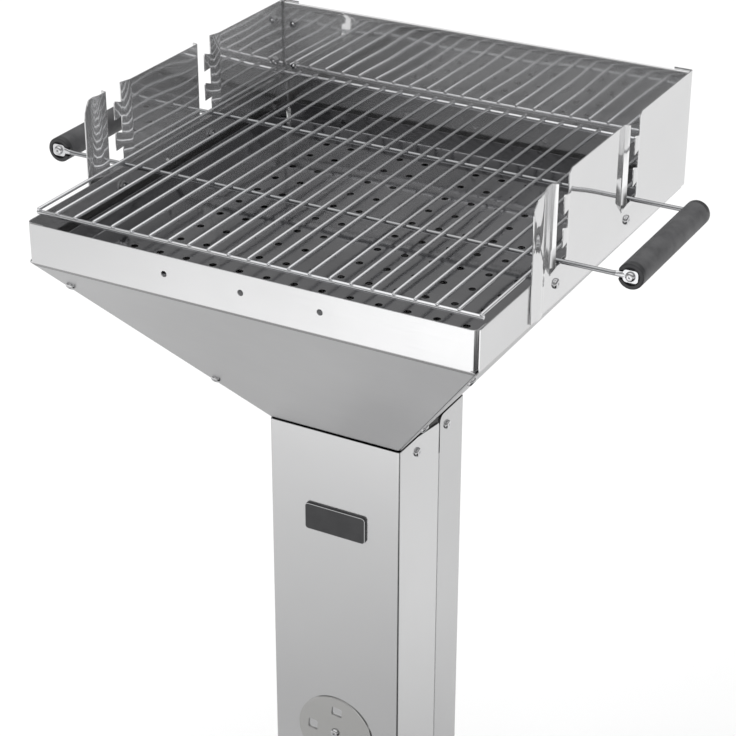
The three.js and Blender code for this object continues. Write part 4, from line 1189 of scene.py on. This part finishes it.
disc_centre = (0, VENT_CENTRE[1] - VENT_THICKNESS / 2, VENT_CENTRE[2])
vent = add_rod("vent_plate", VENT_RADIUS, VENT_THICKNESS, disc_centre, ALONG_Y, 72)
shape(vent)
pick_facing(vent, (0, -1, 0))
bpy.ops.mesh.region_to_loop()
bevel(VENT_EDGE, 2)
finish_shape()
for quarter in range(4):
    cut_away(vent, window_punch(VENT_TURN + quarter * math.pi / 2))
cut_away(vent, add_rod("hub_punch", SCREW_BORE_RADIUS, PUNCH_LENGTH, VENT_CENTRE, ALONG_Y, 24))
smooth(vent, 15)
dress(vent, "vent", "steel_sheet", vent_finish, "vent_disc")
print("vent:", len(vent.data.polygons), "faces")

# %% [markdown]
# Rubber feet push into the base plate. Each is a turned shape, so it grows from its sole ring by ring.
# Spinning an outline would give the same shape; pulling rings keeps every face a clean quad.

# %% Feet
FOOT_OFFSET = 0.124
SOLE_RADIUS = 0.0135
FOOT_RINGS = (
    (0.0015, 0.015),
    (0.0265, 0.0120),
    (0.0, 0.004),
    (0.0013, 0.004),
    (0.0, 0.006),
    (0.003, 0.004),
)


def model_foot():
    """One foot, standing on the ground at the origin. Each ring has a rise and a radius."""
    circle = bpy.ops.mesh.primitive_circle_add
    foot = add_piece("foot", circle, vertices=36, radius=SOLE_RADIUS, fill_type="NGON", location=(0, 0, 0))
    shape(foot)
    radius = SOLE_RADIUS
    for rise, next_radius in FOOT_RINGS:
        extrude(0, 0, rise)
        bpy.ops.transform.resize(value=(next_radius / radius, next_radius / radius, 1))
        radius = next_radius
    bpy.ops.mesh.select_all(action="SELECT")
    bpy.ops.mesh.normals_make_consistent(inside=False)
    finish_shape()
    return foot


foot_model = model_foot()
smooth(foot_model, 40)
for end, end_name in ENDS:
    for side, side_name in SIDES:
        name = f"foot_{end_name}_{side_name}"
        place = Matrix.Translation((side * FOOT_OFFSET, TROUGH_Y + end * FOOT_OFFSET, 0))
        foot = copied(foot_model, f"rubber_{name}", place)
        dress(foot, "stand", "rubber", rubber_finish, name)
bpy.data.objects.remove(foot_model)

# %% [markdown]
# A small dark plate with rounded corners sits on the column's face, with a fine bright line round its edge.
# It stays bare. It could be a decal, but a real plate has a thickness that shades its upper side.

# %% Plate on the column
PLATE_X = (-0.029, 0.032)
PLATE_Z = (0.4515, 0.478)
PLATE_THICKNESS = 0.0026
PLATE_CORNER = 0.0032
PLATE_RIM = 0.0006
COLUMN_FRONT_Y = -0.0636


def model_plate():
    """The plate, its corners rounded, with a thin rim face round its front."""
    centre = (sum(PLATE_X) / 2, COLUMN_FRONT_Y - PLATE_THICKNESS / 2, sum(PLATE_Z) / 2)
    size = (PLATE_X[1] - PLATE_X[0], PLATE_THICKNESS, PLATE_Z[1] - PLATE_Z[0])
    plate = rounded_plate("column_plate", centre, size, PLATE_CORNER)
    shape(plate)
    pick_facing(plate, (0, -1, 0))
    bpy.ops.mesh.inset(thickness=PLATE_RIM, depth=0)
    finish_shape()
    return plate


plate = model_plate()
smooth(plate, 30)
dress(plate, "stand", "fastener", lacquer_and_shade_finish)
front_areas = [face.area for face in plate.data.polygons if face.normal.y < -STRAIGHT]
dress_faces(plate, screw_finish, lambda face: face.normal.y < -STRAIGHT and face.area < max(front_areas))
print("plate rim faces:", len(front_areas) - 1)

# %% [markdown]
# Polished steel shows its surroundings, and every upright sheet here mirrors the floor. For mirrored rays the
# floor glows with painted light, laid out as a photographer lays white cards with dark gaps between them. The
# glow is dimmer near the grill, a painted shadow, and soft glowing cards brighten it at the front left, in front
# and behind on the right. A dark gap lies at the front right, which gives the bends their dark lines, with one
# small card in it for the lips of the slots. The camera itself sees only the plain paper, because Light Path
# parts its rays from the mirrored ones.

# %% Helpers for light that steel sees
def level_curve(tree, at, points):
    """A Float Curve node through points, fed by a socket."""
    node = tree.nodes.new("ShaderNodeFloatCurve")
    curve = node.mapping.curves[0]
    curve.points[0].location = points[0]
    curve.points[1].location = points[-1]
    for point in points[1:-1]:
        curve.points.new(*point)
    node.mapping.update()
    feed(tree, node.inputs["Value"], at)
    return node.outputs["Value"]


def add_glow_card(tree, position, level, card):
    """Adds a soft round card of painted glow to a level: brightest at its point, and gone at its reach."""
    point, reach, light = card
    away = vector_node(tree, "DISTANCE", position, (*point, 0)).outputs["Value"]
    return math_node(tree, "MULTIPLY_ADD", ranged(tree, away, reach, 0, kind="SMOOTHSTEP"), light, level)


def towards(tree, position, heading, start, full):
    """A soft mask of the floor's points that lie along a heading from the centre."""
    turned = vector_node(tree, "NORMALIZE", position).outputs["Vector"]
    along = vector_node(tree, "DOT_PRODUCT", turned, (math.cos(heading), math.sin(heading), 0))
    return ranged(tree, along.outputs["Value"], start, full, kind="SMOOTHSTEP")


print("light helpers ready")

# %% Floor
FLOOR_GLOW_RING = ((0.0, 0.4), (0.16, 0.5), (0.28, 0.65), (0.42, 0.74), (0.64, 0.87), (0.8, 0.84), (1.0, 0.83))
FLOOR_RING_REACH = 2.5
GLOW_CARDS = (
    ((-0.35, -1.6), 0.95, 0.58),
    ((0.5, 0.7), 0.8, 0.1),
    ((0.25, 0.35), 0.5, 0.17),
    ((-0.2, -0.07), 0.28, 0.22),
    ((0.15, -1.93), 0.5, 0.5),
)
GAP_HEADING = math.radians(-28)
GAP_COSINES = (0.72, 0.9)
GAP_FADE = (1.9, 2.6)
GAP_DEPTH = 0.97
LIP_GLOW_CARD = ((1.5, -1.26), 0.48, 1.0)

floor = add_piece("floor", bpy.ops.mesh.primitive_plane_add, size=30, location=(0, 0, 0))
floor_finish, tree, paper, place = new_finish("floor_paper_and_glow", 0)
tone = noise(tree, place, 1.5, 3)
feed(tree, paper.inputs["Base Color"], mixed_colour(tree, tone, (0.93, 0.93, 0.93), (0.91, 0.91, 0.91)))
paper.inputs["Roughness"].default_value = 0.9
paper.inputs["Specular IOR Level"].default_value = 0.1
distance = vector_node(tree, "LENGTH", place).outputs["Value"]
seen = level_curve(tree, math_node(tree, "DIVIDE", distance, FLOOR_RING_REACH), FLOOR_GLOW_RING)
for card in GLOW_CARDS:
    seen = add_glow_card(tree, place, seen, card)
gap = towards(tree, place, GAP_HEADING, *GAP_COSINES)
gap = math_node(tree, "MULTIPLY", gap, ranged(tree, distance, *GAP_FADE, 1, 0))
seen = math_node(tree, "MULTIPLY", seen, math_node(tree, "MULTIPLY_ADD", gap, -GAP_DEPTH, 1.0))
seen = add_glow_card(tree, place, seen, LIP_GLOW_CARD)
glow = add_node(tree, "ShaderNodeEmission", Strength=seen)
mirrored = tree.nodes.new("ShaderNodeLightPath").outputs["Is Glossy Ray"]
chosen = tree.nodes.new("ShaderNodeMixShader")
for socket, value in zip(chosen.inputs, (mirrored, paper.outputs["BSDF"], glow.outputs["Emission"])):
    feed(tree, socket, value)
feed(tree, tree.nodes["Material Output"].inputs["Surface"], chosen.outputs["Shader"])
floor.data.materials.append(floor_finish)
print("floor ready, cards:", len(GLOW_CARDS) + 1)

# %% [markdown]
# The dome is white where the camera looks past the grill.
# Mirrored rays see it dim near the horizon and bright overhead, like a soft box hung above the table.

# %% Dome
DOME_TOP = 1.25
DOME_LEVELS = ((0.0, 0.3), (0.5, 0.3), (0.62, 0.24), (0.76, 0.34), (0.86, 0.8), (1.0, DOME_TOP))
DOME_WHITE = 1.1

scene = bpy.context.scene
scene.view_settings.view_transform = "Standard"
world = bpy.data.worlds.new("studio_dome")
scene.world = world
world.use_nodes = True
dome = world.node_tree
background = dome.nodes["Background"]
direction = dome.nodes.new("ShaderNodeTexCoord").outputs["Generated"]
split = add_node(dome, "ShaderNodeSeparateXYZ", Vector=direction)
height = ranged(dome, split.outputs["Z"], -1, 1)
level = level_curve(dome, height, [(at, light / DOME_TOP) for at, light in DOME_LEVELS])
mirrored = dome.nodes.new("ShaderNodeLightPath").outputs["Is Glossy Ray"]
plain = math_node(dome, "MULTIPLY", math_node(dome, "SUBTRACT", 1.0, mirrored), DOME_WHITE)
strength = math_node(dome, "MULTIPLY_ADD", math_node(dome, "MULTIPLY", level, DOME_TOP), mirrored, plain)
feed(dome, background.inputs["Strength"], strength)
background.inputs["Color"].default_value = (1, 1, 1, 1)
print("dome levels:", len(DOME_LEVELS))

# %% [markdown]
# One large soft lamp at the front left gives the floor its gentle shadow.
# It is hidden from mirrored rays, so that no bright square shows in the polished steel.

# %% Soft lamp
def soft_light(name, place, target, size, power):
    """A square area light that faces a point."""
    light = bpy.data.lights.new(name, "AREA")
    light.size = size
    light.energy = power
    lamp = bpy.data.objects.new(name, light)
    lamp.location = place
    lamp.rotation_euler = (Vector(target) - Vector(place)).to_track_quat("-Z", "Y").to_euler()
    lamp.visible_glossy = False
    scene.collection.objects.link(lamp)


soft_light("key", (-1.5, -1.6, 2.8), (0, 0, 0.6), 1.2, 16)
print("lamp ready")
